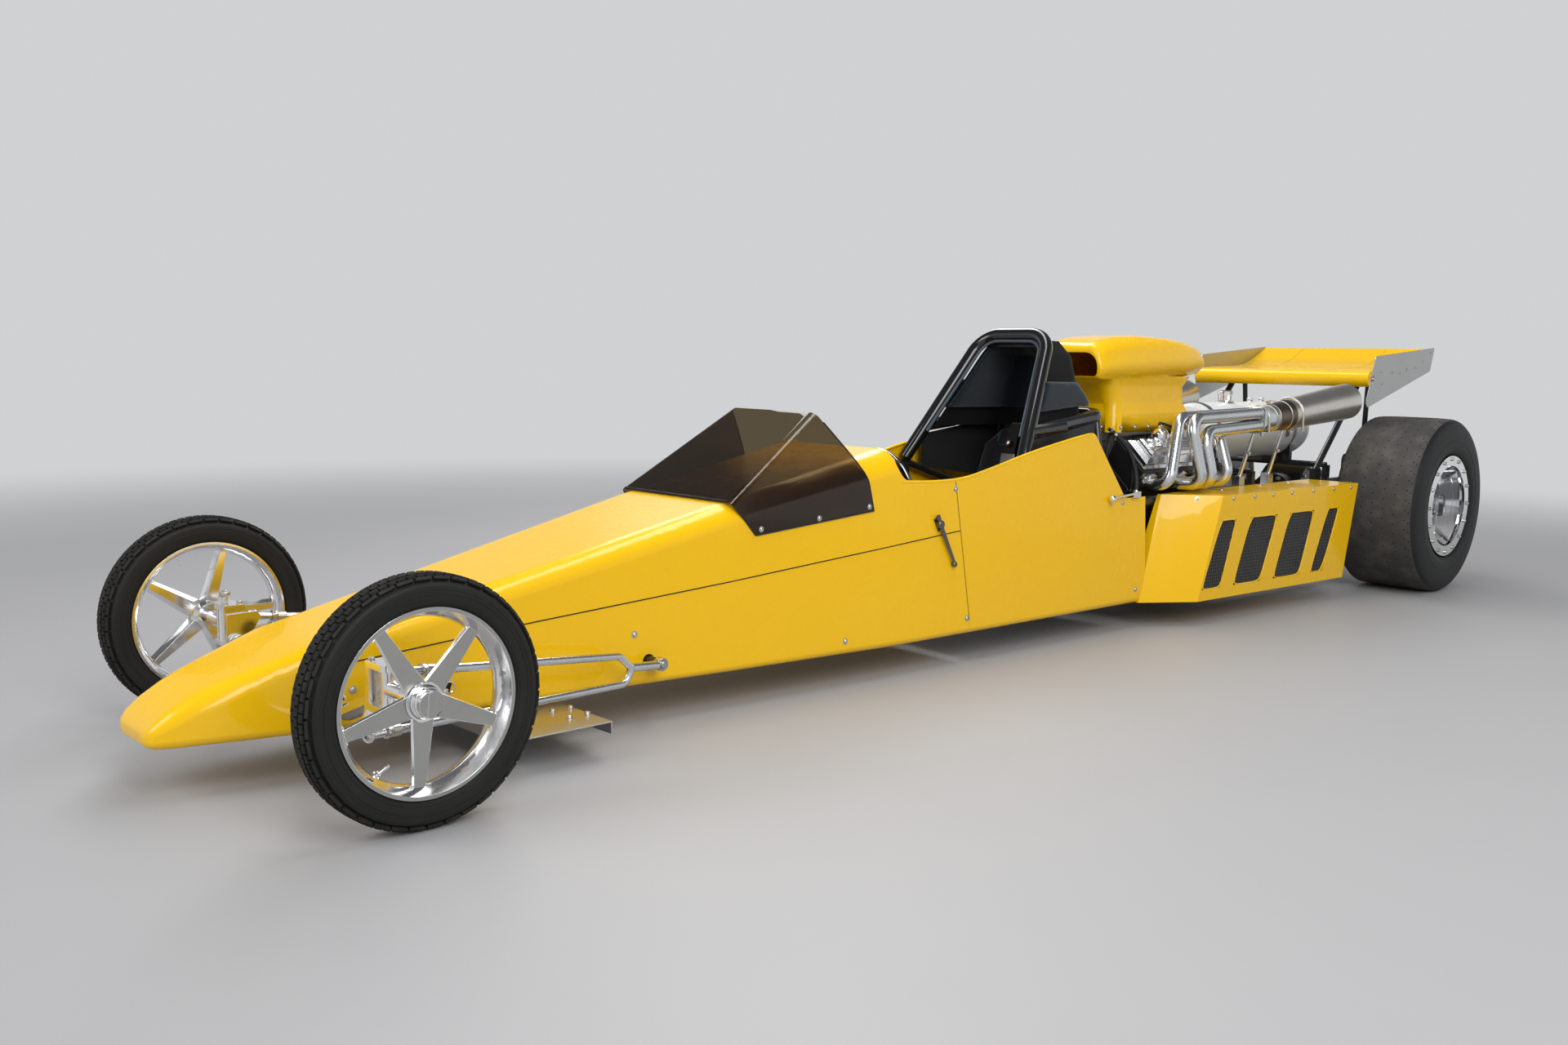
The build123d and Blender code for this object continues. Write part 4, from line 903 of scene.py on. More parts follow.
def rear_wheel_details(side):
    """The rolled outer lip, the step in the barrel, the bolts and the hub's cover."""
    place = wheel_place(REAR_AXLE, side)
    name = f"rear_wheel_{SIDES[side]}"
    lip = turned([(0.2085, 0.1575), (0.2098, 0.16), (0.2095, 0.1642), (0.206, 0.165), (0.1985, 0.1648),
                  (0.193, 0.164), (0.19, 0.16), (0.189, 0.156), (0.1965, 0.1575)], place, 96, 50)
    step = turned([(0.1835, 0.12), (0.18, 0.118), (0.1785, 0.112), (0.1805, 0.106), (0.184, 0.105)],
                  place, 96, 50)
    ring_bolts = scattered(hex_head(0.0125, 0.006), circle(16, 0.1955, 0.1646))
    cover = [(0, 0.092), (0.028, 0.092), (0.036, 0.088), (0.04, 0.08), (0.04, 0.044), (0, 0.044)]
    hub_nuts = scattered(stud_nut(0.026, 0.018), circle(5, 0.06, 0.0302, pi / 5))
    show([lip, step], f"{name}_lip", "chrome_rim", body="rear_axle")
    bolts = placed(joined([ring_bolts, hub_nuts]), place)
    show(bolts, f"{name}_bolts", "chrome_rim", "zinc_steel", "rear_axle")
    show(turned(cover, place), f"{name}_hub", "chrome_rim", "dark_steel", "rear_axle")


# Front body, seams and screen, with points as (station, height)

# The seam between the upper and lower front body, and the upright joint's heights
SEAM = [(4700, 246.4), (4620, 250), (4200, 290), (3582, 340), (2500, 427)]
JOINT_HEIGHTS = (98, 140, 200, 260, 320, 380, 440, 500, 545, 562)

# The edge of the cockpit opening from the dash back to the head hoop
COCKPIT_EDGE = [(2955, 574), (2860, 568), (2760, 567), (2680, 570), (2600, 582), (2500, 604), (2400, 627),
                (2300, 647), (2200, 664), (2100, 681), (2030, 690)]
BODY_SCREWS = [(3885, 233), (2662, 140), (4598, 192), (2712, 540), (1760, 140), (1838, 449), (3180, 132)]
SCREEN_LOW_EDGE = [(3572, 534), (3545, 502), (3507, 458), (3500, 457), (3400, 466), (3290, 476), (3180, 486),
                   (3072, 496), (3069, 500), (3078, 545), (3096, 602)]
SCREEN_REAR_EDGE = [(3094, 602), (3112, 632), (3134, 662), (3157, 691), (3180, 721), (3200, 746)]
SCREEN_MIDDLE = (3300, 570)


def panel(side):
    return f"side_panel_{SIDES[side]}"


def seam_height(station):
    for (x1, z1), (x2, z2) in zip(SEAM, SEAM[1:]):
        if x2 <= station <= x1:
            return z1 + (z2 - z1) * (station - x1) / (x2 - x1)


def body_seams():
    """Dark shadow lines where the body's panels meet."""
    lines = []
    for side in SIDES:
        stations = [4694 - index * 2000 / 22 for index in range(23)]
        long_seam = [beside(FRONT_BODY, x, seam_height(x) + 1.4, side) - Vector((0, 0, 0.001))
                     for x in stations]
        upright = [beside([*FRONT_BODY, panel(side)], 2631.5 + z / 7, z, side) for z in JOINT_HEIGHTS]
        lines.append(hose(long_seam, 0.0017, order=2, sides=6))
        lines.append(hose(upright, 0.0011, order=2, sides=6))
    show(lines, "body_seam_lines", "frame_black", "seal_rubber_and_seam_shadow")


def rolled_edges():
    """The smooth lip round the cockpit opening."""
    lips = []
    for side in SIDES:
        lip = []
        for x, z in COCKPIT_EDGE:
            point = beside(["nose_deck", panel(side)], x, z - 8, side)
            lip.append((point.x, point.y - side * 0.0042, z / 1000 - 0.0015))
        lips.append(hose(lip, 0.005, resolution=6, sides=14))
    show(lips, "cockpit_lip", "yellow_paint")


def body_screws():
    places = []
    for side in SIDES:
        for spot in BODY_SCREWS:
            found = [side_seats(solid, [spot], side) for solid in ("lower_body", "nose_deck", panel(side))]
            places += next((seat for seat in found if seat), [])
    places += seats("nose_deck", [car(x, y, -50) for x in (4930, 4800) for y in (-70, 70)], UP)
    fastened(button_screw(0.0072, 0.0052), places, "body_screws", "yellow_paint")


def body_latches():
    """The over-centre latch across the upright joint, one a side."""
    parts = []
    for side in SIDES:
        top = beside(["nose_deck"], 2797, 446, side)
        low = beside(["lower_body"], 2727, 310, side)
        out = Vector((0, side, 0))
        way = (top - low).normalized()
        seat = Matrix.Translation((low + top) / 2) @ axes(way, out.cross(way), out)
        half = (top - low).length / 2
        base = [(half - 0.028, -0.011), (half + 0.014, -0.011), (half + 0.014, 0.011), (half - 0.028, 0.011)]
        tail, nose = 0.004 - half, half - 0.006
        bar = [(tail, -0.0045), (nose, -0.0075), (nose, 0.0075), (tail, 0.0045)]
        hook = [(half - 0.002, -0.005), (half + 0.022, -0.008), (half + 0.026, 0), (half + 0.022, 0.008),
                (half - 0.002, 0.005)]
        drum = [(0, 0.018), (0.0105, 0.018), (0.0125, 0.016), (0.0125, 0.003), (0, 0.003)]
        tip = [(0, 0.0145), (0.0065, 0.0145), (0.0085, 0.0125), (0.0085, 0.006), (0.006, 0.0055), (0.006, 0),
               (0, 0)]
        parts += [
            plate(base, 0.003, 0.001, seat),
            plate(bar, 0.0045, 0.0016, seat @ shift(0, 0, 0.0085)),
            turned(drum, seat @ shift(half - 0.008, 0, 0), 28, 40),
            turned(tip, seat @ shift(tail, 0, 0), 24, 40),
            plate(hook, 0.006, 0.0018, seat @ shift(0, 0, 0.01)),
        ]
    show(parts, "body_latches", "frame_black", "dark_steel")


def side_hole_rings():
    """Bright rings round the small side holes and the radius rods' bosses, and a dark disc in each small hole
    as painted shade of its inside.
    """
    rings = []
    dark = []
    for side in SIDES:
        for x, z, r in ((4377, 167, 0.0115), (4640, 163, 0.0275)):
            point = beside(FRONT_BODY, x, z + r * 1000 + 3, side)
            profile = [(r, 0), (r, 0.0022), (r + 0.001, 0.003), (r + 0.0035, 0.0026), (r + 0.005, 0.0008),
                       (r + 0.005, 0)]
            rings.append(turned(profile, facing((point.x, point.y, z / 1000), (0, side, 0)), 40, 40))
        # Painted shade: a dark disc just proud of the body stands for the shade inside the small hole
        point = beside(["lower_body"], 4377, 167, side) - Vector((0, side * 0.0002, 0))
        dark.append(turned([(0, 0.0006), (0.0112, 0.0006), (0.0112, 0)], facing(point, (0, side, 0)), 24))
    show(rings, "side_hole_rings", "yellow_paint", "polished_aluminium")
    show(dark, "side_hole_shade", "yellow_paint", "pin_dark")


def screen_edge(x, z, side):
    """The screen's outer face at, or a little inside, a point of its edge."""
    shares = [step * 0.008 for step in range(12)]
    near = [aside("windscreen", x + (SCREEN_MIDDLE[0] - x) * share, z + (SCREEN_MIDDLE[1] - z) * share, side)
            for share in shares]
    return next(point for point in near if point)


def screen_trim():
    """Rubber edging along the screen's open edges, and the screws that hold it."""
    beads = []
    screws = []
    for side in SIDES:
        inward = side * 0.0012
        low_edge = [screen_edge(x, z + 1.5, side) - Vector((0, inward, 0.0015)) for x, z in SCREEN_LOW_EDGE]
        rear_edge = [screen_edge(x + 3, z, side) - Vector((0.002, inward, 0)) for x, z in SCREEN_REAR_EDGE]
        beads.append(hose(low_edge, 0.0024, order=2, sides=8))
        beads.append(hose(rear_edge, 0.0024, sides=8))
        screws += side_seats("windscreen", ((3488, 471), (3279, 487), (3086, 508)), side)
    front_edge = [met("windscreen", car(3577, y, 900), DOWN)[0] + Vector((0.003, 0, -0.001))
                  for y in range(-225, 226, 45)]
    beads.append(hose(front_edge, 0.0026, order=2, sides=8))
    show(beads, "screen_edging", "frame_black", "seal_rubber_and_seam_shadow")
    fastened(button_screw(0.0062, 0.0045), screws, "screen_screws", "frame_black")


# Front axle and its rods

def axle_details():
    """Fasteners, weld collars and the adjusters of the hairpin rods."""
    fasteners = []
    bolts = []
    collars = []
    adjusters = []
    ring = [(0.019, -0.006), (0.0215, -0.005), (0.0232, 0.0), (0.0215, 0.005), (0.019, 0.006)]
    boss = [(0, 0.01), (0.009, 0.01), (0.0105, 0.0085), (0.0105, 0.0015), (0.0155, 0.0015), (0.0165, 0)]
    sleeve = [(0.0095, 0), (0.0125, 0.001), (0.0125, 0.02), (0.0098, 0.022)]
    for side in SIDES:
        pin = met("front_axle", car(4640, side * 430, 365), DOWN)[0]
        fasteners.append(placed(stud_nut(0.024, 0.01), facing(pin, UP)))
        bolts += seats("front_axle", [car(x, side * 384, 400) for x in (4622, 4658)], DOWN)
        bolts += side_seats("front_axle", ((4588, 270), (4669, 150)), side, 500)
        start = car(4640, side * 234, 163)
        way = (car(4640, side * 374, 218) - start).normalized()
        collars.append(turned(ring, stood(4640, side * 114, 163, (0, side, 0)), 32, 60))
        collars.append(turned(ring, facing(start + way * 0.136, way), 32, 60))
        collars.append(turned(boss, stood(3844, side * 292, 162, (0, side, 0)), 28, 40))
        for front, rear in (((4588, 384, 270), (3975, 290, 201)), ((4669, 384, 150), (3955, 290, 131))):
            a, b = [car(x, side * y, z) for x, y, z in (front, rear)]
            way = (b - a).normalized()
            adjusters.append(placed(hex_head(0.024, 0.012), facing(a + way * 0.042, way)))
            adjusters.append(turned(sleeve, facing(a + way * 0.055, way), 20, closed=False))
    plate_spots = [car(x, y, 140) for x in (4100, 4150, 4270, 4320) for y in (-335, -265, 265, 335)]
    bolts += seats("front_plate", plate_spots, DOWN)
    fasteners.append(scattered(hex_head(0.013, 0.006), bolts))
    show(fasteners, "axle_fasteners", "polished_aluminium", "zinc_steel")
    show(collars, "axle_weld_collars", "polished_aluminium", "machined_face")
    show(adjusters, "rod_adjusters", "header_steel", "zinc_steel")


# Cockpit soft goods

def puffed(obj, voxel, cap, pressure):
    """Fills a closed form like a pad: remeshed, swollen by cloth pressure, and held within a cap."""
    applied(obj, "REMESH", mode="VOXEL", voxel_size=voxel)
    starts = [vertex.co.copy() for vertex in obj.data.vertices]
    focus(obj)
    soft = obj.modifiers.new("cloth", "CLOTH")
    soft.settings.use_pressure = True
    soft.settings.uniform_pressure_force = pressure
    soft.settings.effector_weights.gravity = 0
    for moment in range(1, 21):
        bpy.context.scene.frame_set(moment)
    bpy.ops.object.modifier_apply(modifier="cloth")
    bpy.context.scene.frame_set(1)
    for vertex, start in zip(obj.data.vertices, starts):
        move = vertex.co - start
        if move.length > cap:
            vertex.co = start + move * (cap / move.length)
    applied(obj, "SMOOTH", factor=0.5, iterations=4)
    applied(obj, "SUBSURF", levels=1, render_levels=1)
    return smooth(obj, 180)


def head_lining():
    lining = puffed(solid_copy("cage_padding"), 0.0053, 0.003, 4.0)
    show(lining, "cage_lining", "black_fabric", replaces=["cage_padding"])


def hoop_piping():
    """The thin corded edge inside the main hoop, whose plane slopes back."""
    corners = [(199, 100), (116.3, 475.2), (-116.3, 475.2), (-199, 100)]
    points = [car(2360 - 0.5496 * rise, y, 600 + 0.8353 * rise) for y, rise in corners]
    show(bent_tube(points, 0.0048, 0.063, 14), "hoop_piping", "black_fabric", "piping_cloth")


# The seat's side seams from the shoulders to the front of the base
SEAT_SEAM = [(1934, 668), (1975, 560), (2015, 430), (2055, 310), (2088, 236), (2140, 226), (2260, 228),
             (2380, 230), (2470, 226)]


def seat_seam(starts, ways, lift, radius, sides):
    """A corded seam laid on the seat where the lines meet it."""
    hits = [met("seat", start, way)[0] for start, way in zip(starts, ways)]
    return hose([point + lift for point in hits if point], radius, sides=sides)


def seat_cushions():
    """A quilted back and base, puffed inside the seat's own form."""
    shell = puffed(solid_copy("seat"), 0.0085, 0.006, 3.0)
    show(shell, "seat_trim", "black_fabric", "cushion_cloth", replaces=["seat"])
    seams = []
    for side in SIDES:
        ways = [Vector((-1, 0, -0.35)) if z > 240 else Vector(DOWN) for x, z in SEAT_SEAM]
        starts = [car(x, side * 168, z) - way.normalized() * 0.25 for (x, z), way in zip(SEAT_SEAM, ways)]
        seams.append(seat_seam(starts, ways, Vector((0.004, 0, 0.004)), 0.0042, 10))
    for height in (0.36, 0.62, 0.86):
        starts = [car(2225 + (1 - height) * 135, y, 250 + 440 * height) for y in range(-160, 161, 40)]
        seams.append(seat_seam(starts, [(-1, 0, 0)] * len(starts), Vector((0.0035, 0, 0)), 0.0028, 8))
    show(seams, "seat_seams", "black_fabric", "piping_cloth")


def strap(points, width, across=(0, 1, 0)):
    """Flat webbing along a line of points in source millimetres, as wide as given across."""
    half = Vector(across).normalized() * width / 2
    obj = chain([car(*point) - half for point in points])
    edit(obj)
    bpy.ops.mesh.extrude_region_move(TRANSFORM_OT_translate={"value": tuple(half * 2)})
    leave()
    outward(obj)
    applied(obj, "SUBSURF", levels=2, render_levels=2)
    applied(obj, "SOLIDIFY", thickness=0.0024, offset=0)
    return smooth(obj, 40)


SHOULDER_BELT = [(1917, 92, 704), (1935, 90, 712), (1962, 88, 690), (1990, 84, 600), (2030, 78, 470),
                 (2078, 66, 340), (2140, 48, 272), (2190, 26, 250)]
LAP_BELT = [(2120, 170, 238), (2150, 150, 252), (2180, 110, 258), (2200, 60, 256), (2208, 22, 252)]
CROTCH_BELT = [(2440, 0, 232), (2340, 0, 238), (2260, 0, 246), (2215, 0, 254)]


def harness():
    webs = []
    metal_parts = []
    button = [(0, 0.008), (0.008, 0.0075), (0.0115, 0.005), (0.0125, 0.001), (0.0125, 0)]
    hub = [(0, 0.022), (0.018, 0.022), (0.022, 0.019), (0.03, 0.017), (0.034, 0.013), (0.034, 0), (0, 0)]
    for side in SIDES:
        webs.append(strap([(x, side * y, z) for x, y, z in SHOULDER_BELT], 0.048))
        webs.append(strap([(x, side * y, z) for x, y, z in LAP_BELT], 0.046, (1, 0, 0.2)))
        seat = shift(*car(2001, side * 83, 578)) @ turn(radians(-14), "Y")
        metal_parts.append(brick((0.004, 0.058, 0.046), bevel=0.0012, place=seat))
        metal_parts.append(turned(button, stood(1996, side * 84, 640, (1, 0, 0.4)), 28, 50))
    webs.append(strap(CROTCH_BELT, 0.045))
    metal_parts.append(turned(hub, stood(2205, 0, 250, (0.15, 0, 1)), 40, 40))
    show(webs, "harness_webbing", "black_fabric", "belt_webbing")
    show(metal_parts, "harness_buckles", "black_fabric", "zinc_steel")


def hand_wheel():
    """The steering wheel, its grip dark and its spokes bright."""
    wheel = dress("hand_wheel", "steering_wheel", "polished_aluminium")
    centre = car(2745, 0, 520)
    axis = Vector((-cos(radians(14)), 0, sin(radians(14))))
    faced(wheel, "dark_chrome", lambda f: (f.center - centre).cross(axis).length > 0.112)


# Engine and exhaust

# The stations of the ports and the plugs, the ports' height and reach, and the line of an exhaust's axis
PORTS = (1600, 1468, 1392, 1260)
PORT_HEIGHT = 514.6
PORT_REACH = 240.5
PLUGS = (1560, 1464, 1368, 1272)
COLLECTOR_WAY = ((919, 330, 727), (330, 372, 791))


def bank_place(x, side, across, height):
    """A place on a bank of the engine, Z along the cylinders, X along the car."""
    along = Vector(AHEAD)
    up = Vector((0, side * sin(BANK_ANGLE), cos(BANK_ANGLE)))
    over = up.cross(along)
    spot = car(x, 0, CRANK_HEIGHT) + up * height / 1000 + over * across / 1000
    return Matrix.Translation(spot) @ axes(along, over, up)


def valve_cover_details():
    """Bolts round the valve covers, and raised lines along their tops."""
    bolts = [bank_place(x, side, across, 308.3)
             for side in SIDES for x in (1206, 1290, 1375, 1486, 1570, 1654) for across in (-61.5, 61.5)]
    fastened(hex_head(0.0105, 0.006), bolts, "cover_bolts", "polished_aluminium")
    lines = [bank_place(1430, side, across, 358.3) for side in SIDES for across in (-18, -6, 6, 18)]
    ribs = [brick((0.33, 0.005, 0.0036), (0, 0, 0.0012), 0.0012, line) for line in lines]
    show(ribs, "cover_ribs", "polished_aluminium")


def spark_leads():
    """Plug leads from the heads up to the distributor behind the scoop's neck."""
    leads = []
    for side in SIDES:
        for index, x in enumerate(PLUGS):
            line = [(x, 206, 530), (x, 196, 575), (x - 10, 150, 640 + index * 4),
                    (x - 60, 105, 664 + index * 3), (1150, 46 + 7 * index, 650), (1128, 14 + 6 * index, 622)]
            leads.append(hose([car(a, side * b, c) for a, b, c in line], 0.0036, sides=8, resolution=6))
    show(leads, "spark_leads", "engine_black", "hose_rubber")


def port_flanges():
    """A plate, two bolts and a weld bead where each exhaust pipe leaves its port."""
    plates = []
    bolts = []
    outline = []
    for step in range(24):
        a = 2 * pi * step / 24
        outline.append(((0.045 if abs(cos(a)) > 0.7 else 0.036) * cos(a), 0.034 * sin(a)))
    bead = [(0.0222, 0), (0.0262, 0.001), (0.0248, 0.0045), (0.0222, 0.0055)]
    for side in SIDES:
        out = Vector((0, side * cos(BANK_ANGLE), -sin(BANK_ANGLE)))
        turned_out = axes(Vector(AHEAD), out.cross(Vector(AHEAD)), out)
        for x in PORTS:
            seat = shift(*car(x, side * PORT_REACH, PORT_HEIGHT)) @ turned_out
            face = seat @ shift(0, 0, 0.0085)
            plates.append(plate(outline, 0.0085, 0.0012, seat))
            plates.append(turned(bead, face, 28, 70))
            bolts += [face @ shift(way * 0.0372, 0, 0) for way in (-1, 1)]
    show(plates, "port_flanges", "header_steel", "machined_face")
    fastened(hex_head(0.014, 0.008), bolts, "port_bolts", "header_steel")


def collector_details():
    """Weld seams, a ring clamp and hanging clamps on each exhaust."""
    welds = []
    clamps = []
    start, end = [car(*point) for point in COLLECTOR_WAY]
    way = (end - start).normalized()
    for side in SIDES:
        flip = Vector((1, side, 1))
        line = way * flip
        for distance, r, width in ((0.004, 0.0515, 0.005), (0.03, 0.052, 0.006), (0.098, 0.0578, 0.005)):
            profile = [(r - 0.0035, -width / 2), (r, -width / 3), (r + 0.0012, 0), (r, width / 3),
                       (r - 0.0035, width / 2)]
            welds.append(turned(profile, facing((start + way * distance) * flip, line), 56, 60))
        centre = (start + way * 0.016) * flip
        clamps.append(chamfered_band(0.0502, 0.054, 0.011, (0.0008, 0.0015), facing(centre, line), 56))
        clamps.append(brick((0.012, 0.01, 0.02), (0, 0, 0.06), 0.0015, Matrix.Translation(centre)))
        clamps.append(placed(hex_head(0.013, 0.008), facing(centre + Vector((0.006, 0, 0.062)), AHEAD)))
        for x in (988, 758):
            for across in (-24, 24):
                spot = met("silencer_hangers", car(x, side * (330 + across), 560), UP)[0]
                clamps.append(placed(stud_nut(0.015, 0.008), facing(spot, DOWN)))
        for x, reach, y, z in ((988, 51.5, 330, 727), (758, 62.5, 341, 745)):
            arc = [(y + reach * cos(pi * step / 12), z + reach * sin(pi * step / 12)) for step in range(13)]
            arc = [(y + reach, 676), *arc, (y - reach, 676)]
            clamps.append(hose([car(x, side * a, b) for a, b in arc], 0.0042, resolution=4))
    show(welds, "exhaust_welds", "header_steel", "machined_face")
    show(clamps, "exhaust_clamps", "header_steel", "zinc_steel")


def silencer_pair():
    """The silencers, brushed, with their front cones browned by heat."""
    cans = dress("silencer_cans", "silencers", "silencer_steel")
    start = car(887, 332, 730)

    def browned(face):
        centre = Vector((face.center.x, abs(face.center.y), face.center.z))
        return (centre - start).length < 0.112

    faced(cans, "scorched_steel", browned)


def pipe_slip_joints():
    """Weld rings where the header pipes meet the collector box."""
    profile = [(0.0215, -0.003), (0.0238, -0.001), (0.0238, 0.003), (0.0215, 0.005)]
    rings = [turned(profile, stood(1019, side * y, z, AHEAD), 32, 60)
             for side in SIDES for y in (307, 353) for z in (704, 750)]
    show(rings, "collector_joints", "header_steel", "machined_face")


def scoop_screws():
    places = []
    for side in SIDES:
        places += side_seats("scoop", [(x, 698) for x in (1190, 1280, 1370, 1460, 1550, 1640)], side, 300)
    places += seats("scoop", [car(1900, y, 698) for y in (-90, 0, 90)], (-1, 0, 0))
    fastened(button_screw(0.0075, 0.0055), places, "scoop_screws", "yellow_paint")


def rail_bolts():
    places = []
    for side in SIDES:
        spots = [(x, 440) for x in (1560, 1400, 1240, 1080, 900, 740, 580)]
        places += side_seats("frame_rails", spots, side, 400)
    profile = [(0, 0.006), (0.008, 0.0058), (0.0115, 0.004), (0.0125, 0.001), (0.0125, 0)]
    heads = turned(profile, steps=20, sharp=50)
    fastened(heads, places, "rail_bolts", "frame_black", "machined_face")


def breather_band():
    lower = band(0.0242, 0.0262, 0.004, stood(1523, 240, 652), 36)
    rim = turned([(0.0335, -0.0015), (0.0352, -0.001), (0.0352, 0.0012), (0.0335, 0.0018)],
                 stood(1523, 240, 677), 40, 50)
    show([lower, rim], "breather_band", "polished_aluminium", "chrome_rim")


# Columns: radius in metres, points in the source's millimetres
HOSE_RUNS = [
    (0.013, [(1700, 70, 470), (1740, 96, 500), (1752, 140, 560), (1725, 160, 630), (1660, 120, 664),
             (1600, 88, 668)]),
    (0.009, [(1680, -60, 560), (1730, -80, 600), (1735, -70, 650), (1690, -60, 672), (1612, -60, 672)]),
    (0.008, [(1812, 226, 690), (1776, 262, 650), (1752, 284, 575), (1756, 300, 500), (1772, 303, 470)]),
    (0.006, [(1806, 205, 700), (1760, 236, 668), (1738, 262, 600), (1730, 262, 520), (1716, 240, 470)]),
    (0.006, [(930, 0, 592), (990, 30, 600), (1060, 60, 640), (1130, 70, 664), (1190, 70, 668)]),
    (0.005, [(1523, 240, 690), (1500, 214, 716), (1440, 196, 712), (1330, 190, 690), (1240, 160, 670),
             (1200, 88, 664)]),
]


def engine_hoses():
    """Fuel and water hoses with their bands, fixed at both ends."""
    hoses = []
    bands = []
    for radius, line in HOSE_RUNS:
        points = [car(*point) for point in line]
        hoses.append(hose(points, radius, sides=14))
        for end, after in (points[:2], points[:-3:-1]):
            way = (after - end).normalized()
            bands.append(band(radius, radius + 0.0016, 0.005, facing(end + way * 0.014, way)))
    show(hoses, "engine_hoses", "engine_black", "hose_rubber")
    show(bands, "hose_bands", "engine_black", "zinc_steel")


# Pods, tank, wing and driveline

# The slanted windows of the pods: (front top, rear top, front bottom, rear bottom), and their heights
POD_WINDOWS = [(1438, 1337, 1531, 1412), (1241, 1053, 1331, 1149), (963, 779, 1061, 871),
               (675, 585, 791, 697)]
WINDOW_LOW = 130
WINDOW_HIGH = 376
WIRE_PITCH = 12


def window_span(window, z):
    """The rear and front stations of a slanted window at a height."""
    front_top, rear_top, front_low, rear_low = window
    share = (z - WINDOW_LOW) / (WINDOW_HIGH - WINDOW_LOW)
    return rear_low + (rear_top - rear_low) * share, front_low + (front_top - front_low) * share


def pod_wires():
    """Fine crossed wires over each slanted window."""
    wires = []
    for side in SIDES:
        for window in POD_WINDOWS:
            for z in range(WINDOW_LOW + 6, WINDOW_HIGH - 2, WIRE_PITCH):
                rear, front = window_span(window, z)
                ends = [aside("pod_mesh", x, z, side) for x in (front - 2, rear + 2)]
                if all(ends):
                    wires.append([end + Vector((0, side * 0.0012, 0)) for end in ends])
            for x in range(window[1], max(window[0], window[2]), WIRE_PITCH):
                heights = [z for z in range(WINDOW_LOW + 4, WINDOW_HIGH, 11)
                           if window_span(window, z)[0] < x < window_span(window, z)[1]]
                ends = [aside("pod_mesh", x, z, side) for z in heights]
                ends = [end for end in ends if end]
                if len(ends) > 1:
                    wires.append([end + Vector((0, side * 0.0024, 0)) for end in (ends[0], ends[-1])])
    deselect()
    bpy.ops.mesh.primitive_cylinder_add(vertices=5, radius=0.0013, depth=1, end_fill_type="TRIFAN")
    places = [facing((a + b) / 2, b - a) @ Matrix.Diagonal((1, 1, (b - a).length, 1)) for a, b in wires]
    show(smooth(scattered(settled(), places), 80), "pod_wires", "mesh_black", "wire_black")


def window_frames():
    """Soft rolled edges round the slanted windows."""
    beads = []
    for side in SIDES:
        for front_top, rear_top, front_low, rear_low in POD_WINDOWS:
            corners = [(front_top, WINDOW_HIGH), (rear_top, WINDOW_HIGH), (rear_low, WINDOW_LOW),
                       (front_low, WINDOW_LOW)]
            middle_x = sum(x for x, z in corners) / 4
            points = []
            for (x1, z1), (x2, z2) in zip(corners, corners[1:] + corners[:1]):
                for share in (0.08, 0.5, 0.92):
                    x, z = x1 + (x2 - x1) * share, z1 + (z2 - z1) * share
                    off_x, off_z = x - middle_x, z - (WINDOW_LOW + WINDOW_HIGH) / 2
                    out_x = 0 if abs(off_x) <= 20 else 5 if off_x > 0 else -5
                    out_z = 0 if abs(off_z) <= 118 else 6 if off_z > 0 else -6
                    point = aside(panel(side), x + out_x, z + out_z, side)
                    if point:
                        points.append((car(x, 0, 0).x, point.y - side * 0.0022, z / 1000))
            if len(points) > 6:
                beads.append(hose(points + points[:1], 0.003, sides=8, resolution=4))
    show(beads, "pod_window_edges", "yellow_paint")


def pod_screws():
    places = []
    for side in SIDES:
        spots = [(x, 452) for x in (1510, 1370, 1227, 1097, 960, 799, 640, 500)]
        places += side_seats(panel(side), spots, side)
        places += seats(panel(side), [car(x, side * 330, 700) for x in (929, 1227, 700)], DOWN)
    fastened(button_screw(0.0065, 0.0048), places, "pod_screws", "yellow_paint")


def tank_trim():
    """Straps with their lugs, the filler's neck, two unions, a tab and the weld rings."""
    bands = [chamfered_band(0.1178, 0.1198, 0.014, (0.0006, 0.002), stood(x, 0, TANK_HEIGHT, AHEAD), 72)
             for x in (880, 230)]
    bands += [brick((0.016, 0.01, 0.034), bevel=0.0015, place=shift(*car(x, side * 121, 655)))
              for x in (868, 242) for side in SIDES]
    show(bands, "tank_straps", "tank_white", "machined_face")
    neck = [(0, 0.048), (0.026, 0.048), (0.031, 0.044), (0.031, 0.03), (0.027, 0.028), (0.027, 0.006),
            (0.037, 0.004), (0.038, 0), (0, 0)]
    tab = [(-0.017, -0.014), (0.017, -0.014), (0.017, 0.01), (0.008, 0.02), (-0.008, 0.02), (-0.017, 0.01)]
    weld = [(0.115, -0.003), (0.118, -0.0015), (0.118, 0.0015), (0.115, 0.003)]
    fittings = [turned(neck, stood(640, 0, 778.3), 40, 40)]
    fittings += [placed(hex_head(0.024, 0.014), stood(x, 0, 778)) for x in (330, 430)]
    fittings.append(plate(tab, 0.003, 0.001, shift(*car(309, 119.2, 651)) @ turn(-pi / 2, "X")))
    fittings += [turned(weld, stood(x, 0, TANK_HEIGHT, AHEAD), 72, 70) for x in (132, 878)]
    show(fittings, "tank_fittings", "tank_white", "polished_aluminium")


PLATE_RIVETS = [(150, 897), (81, 916), (63, 866), (-30, 914), (-110, 912), (-177, 928), (-260, 938),
                (-345, 964), (-420, 1004)]


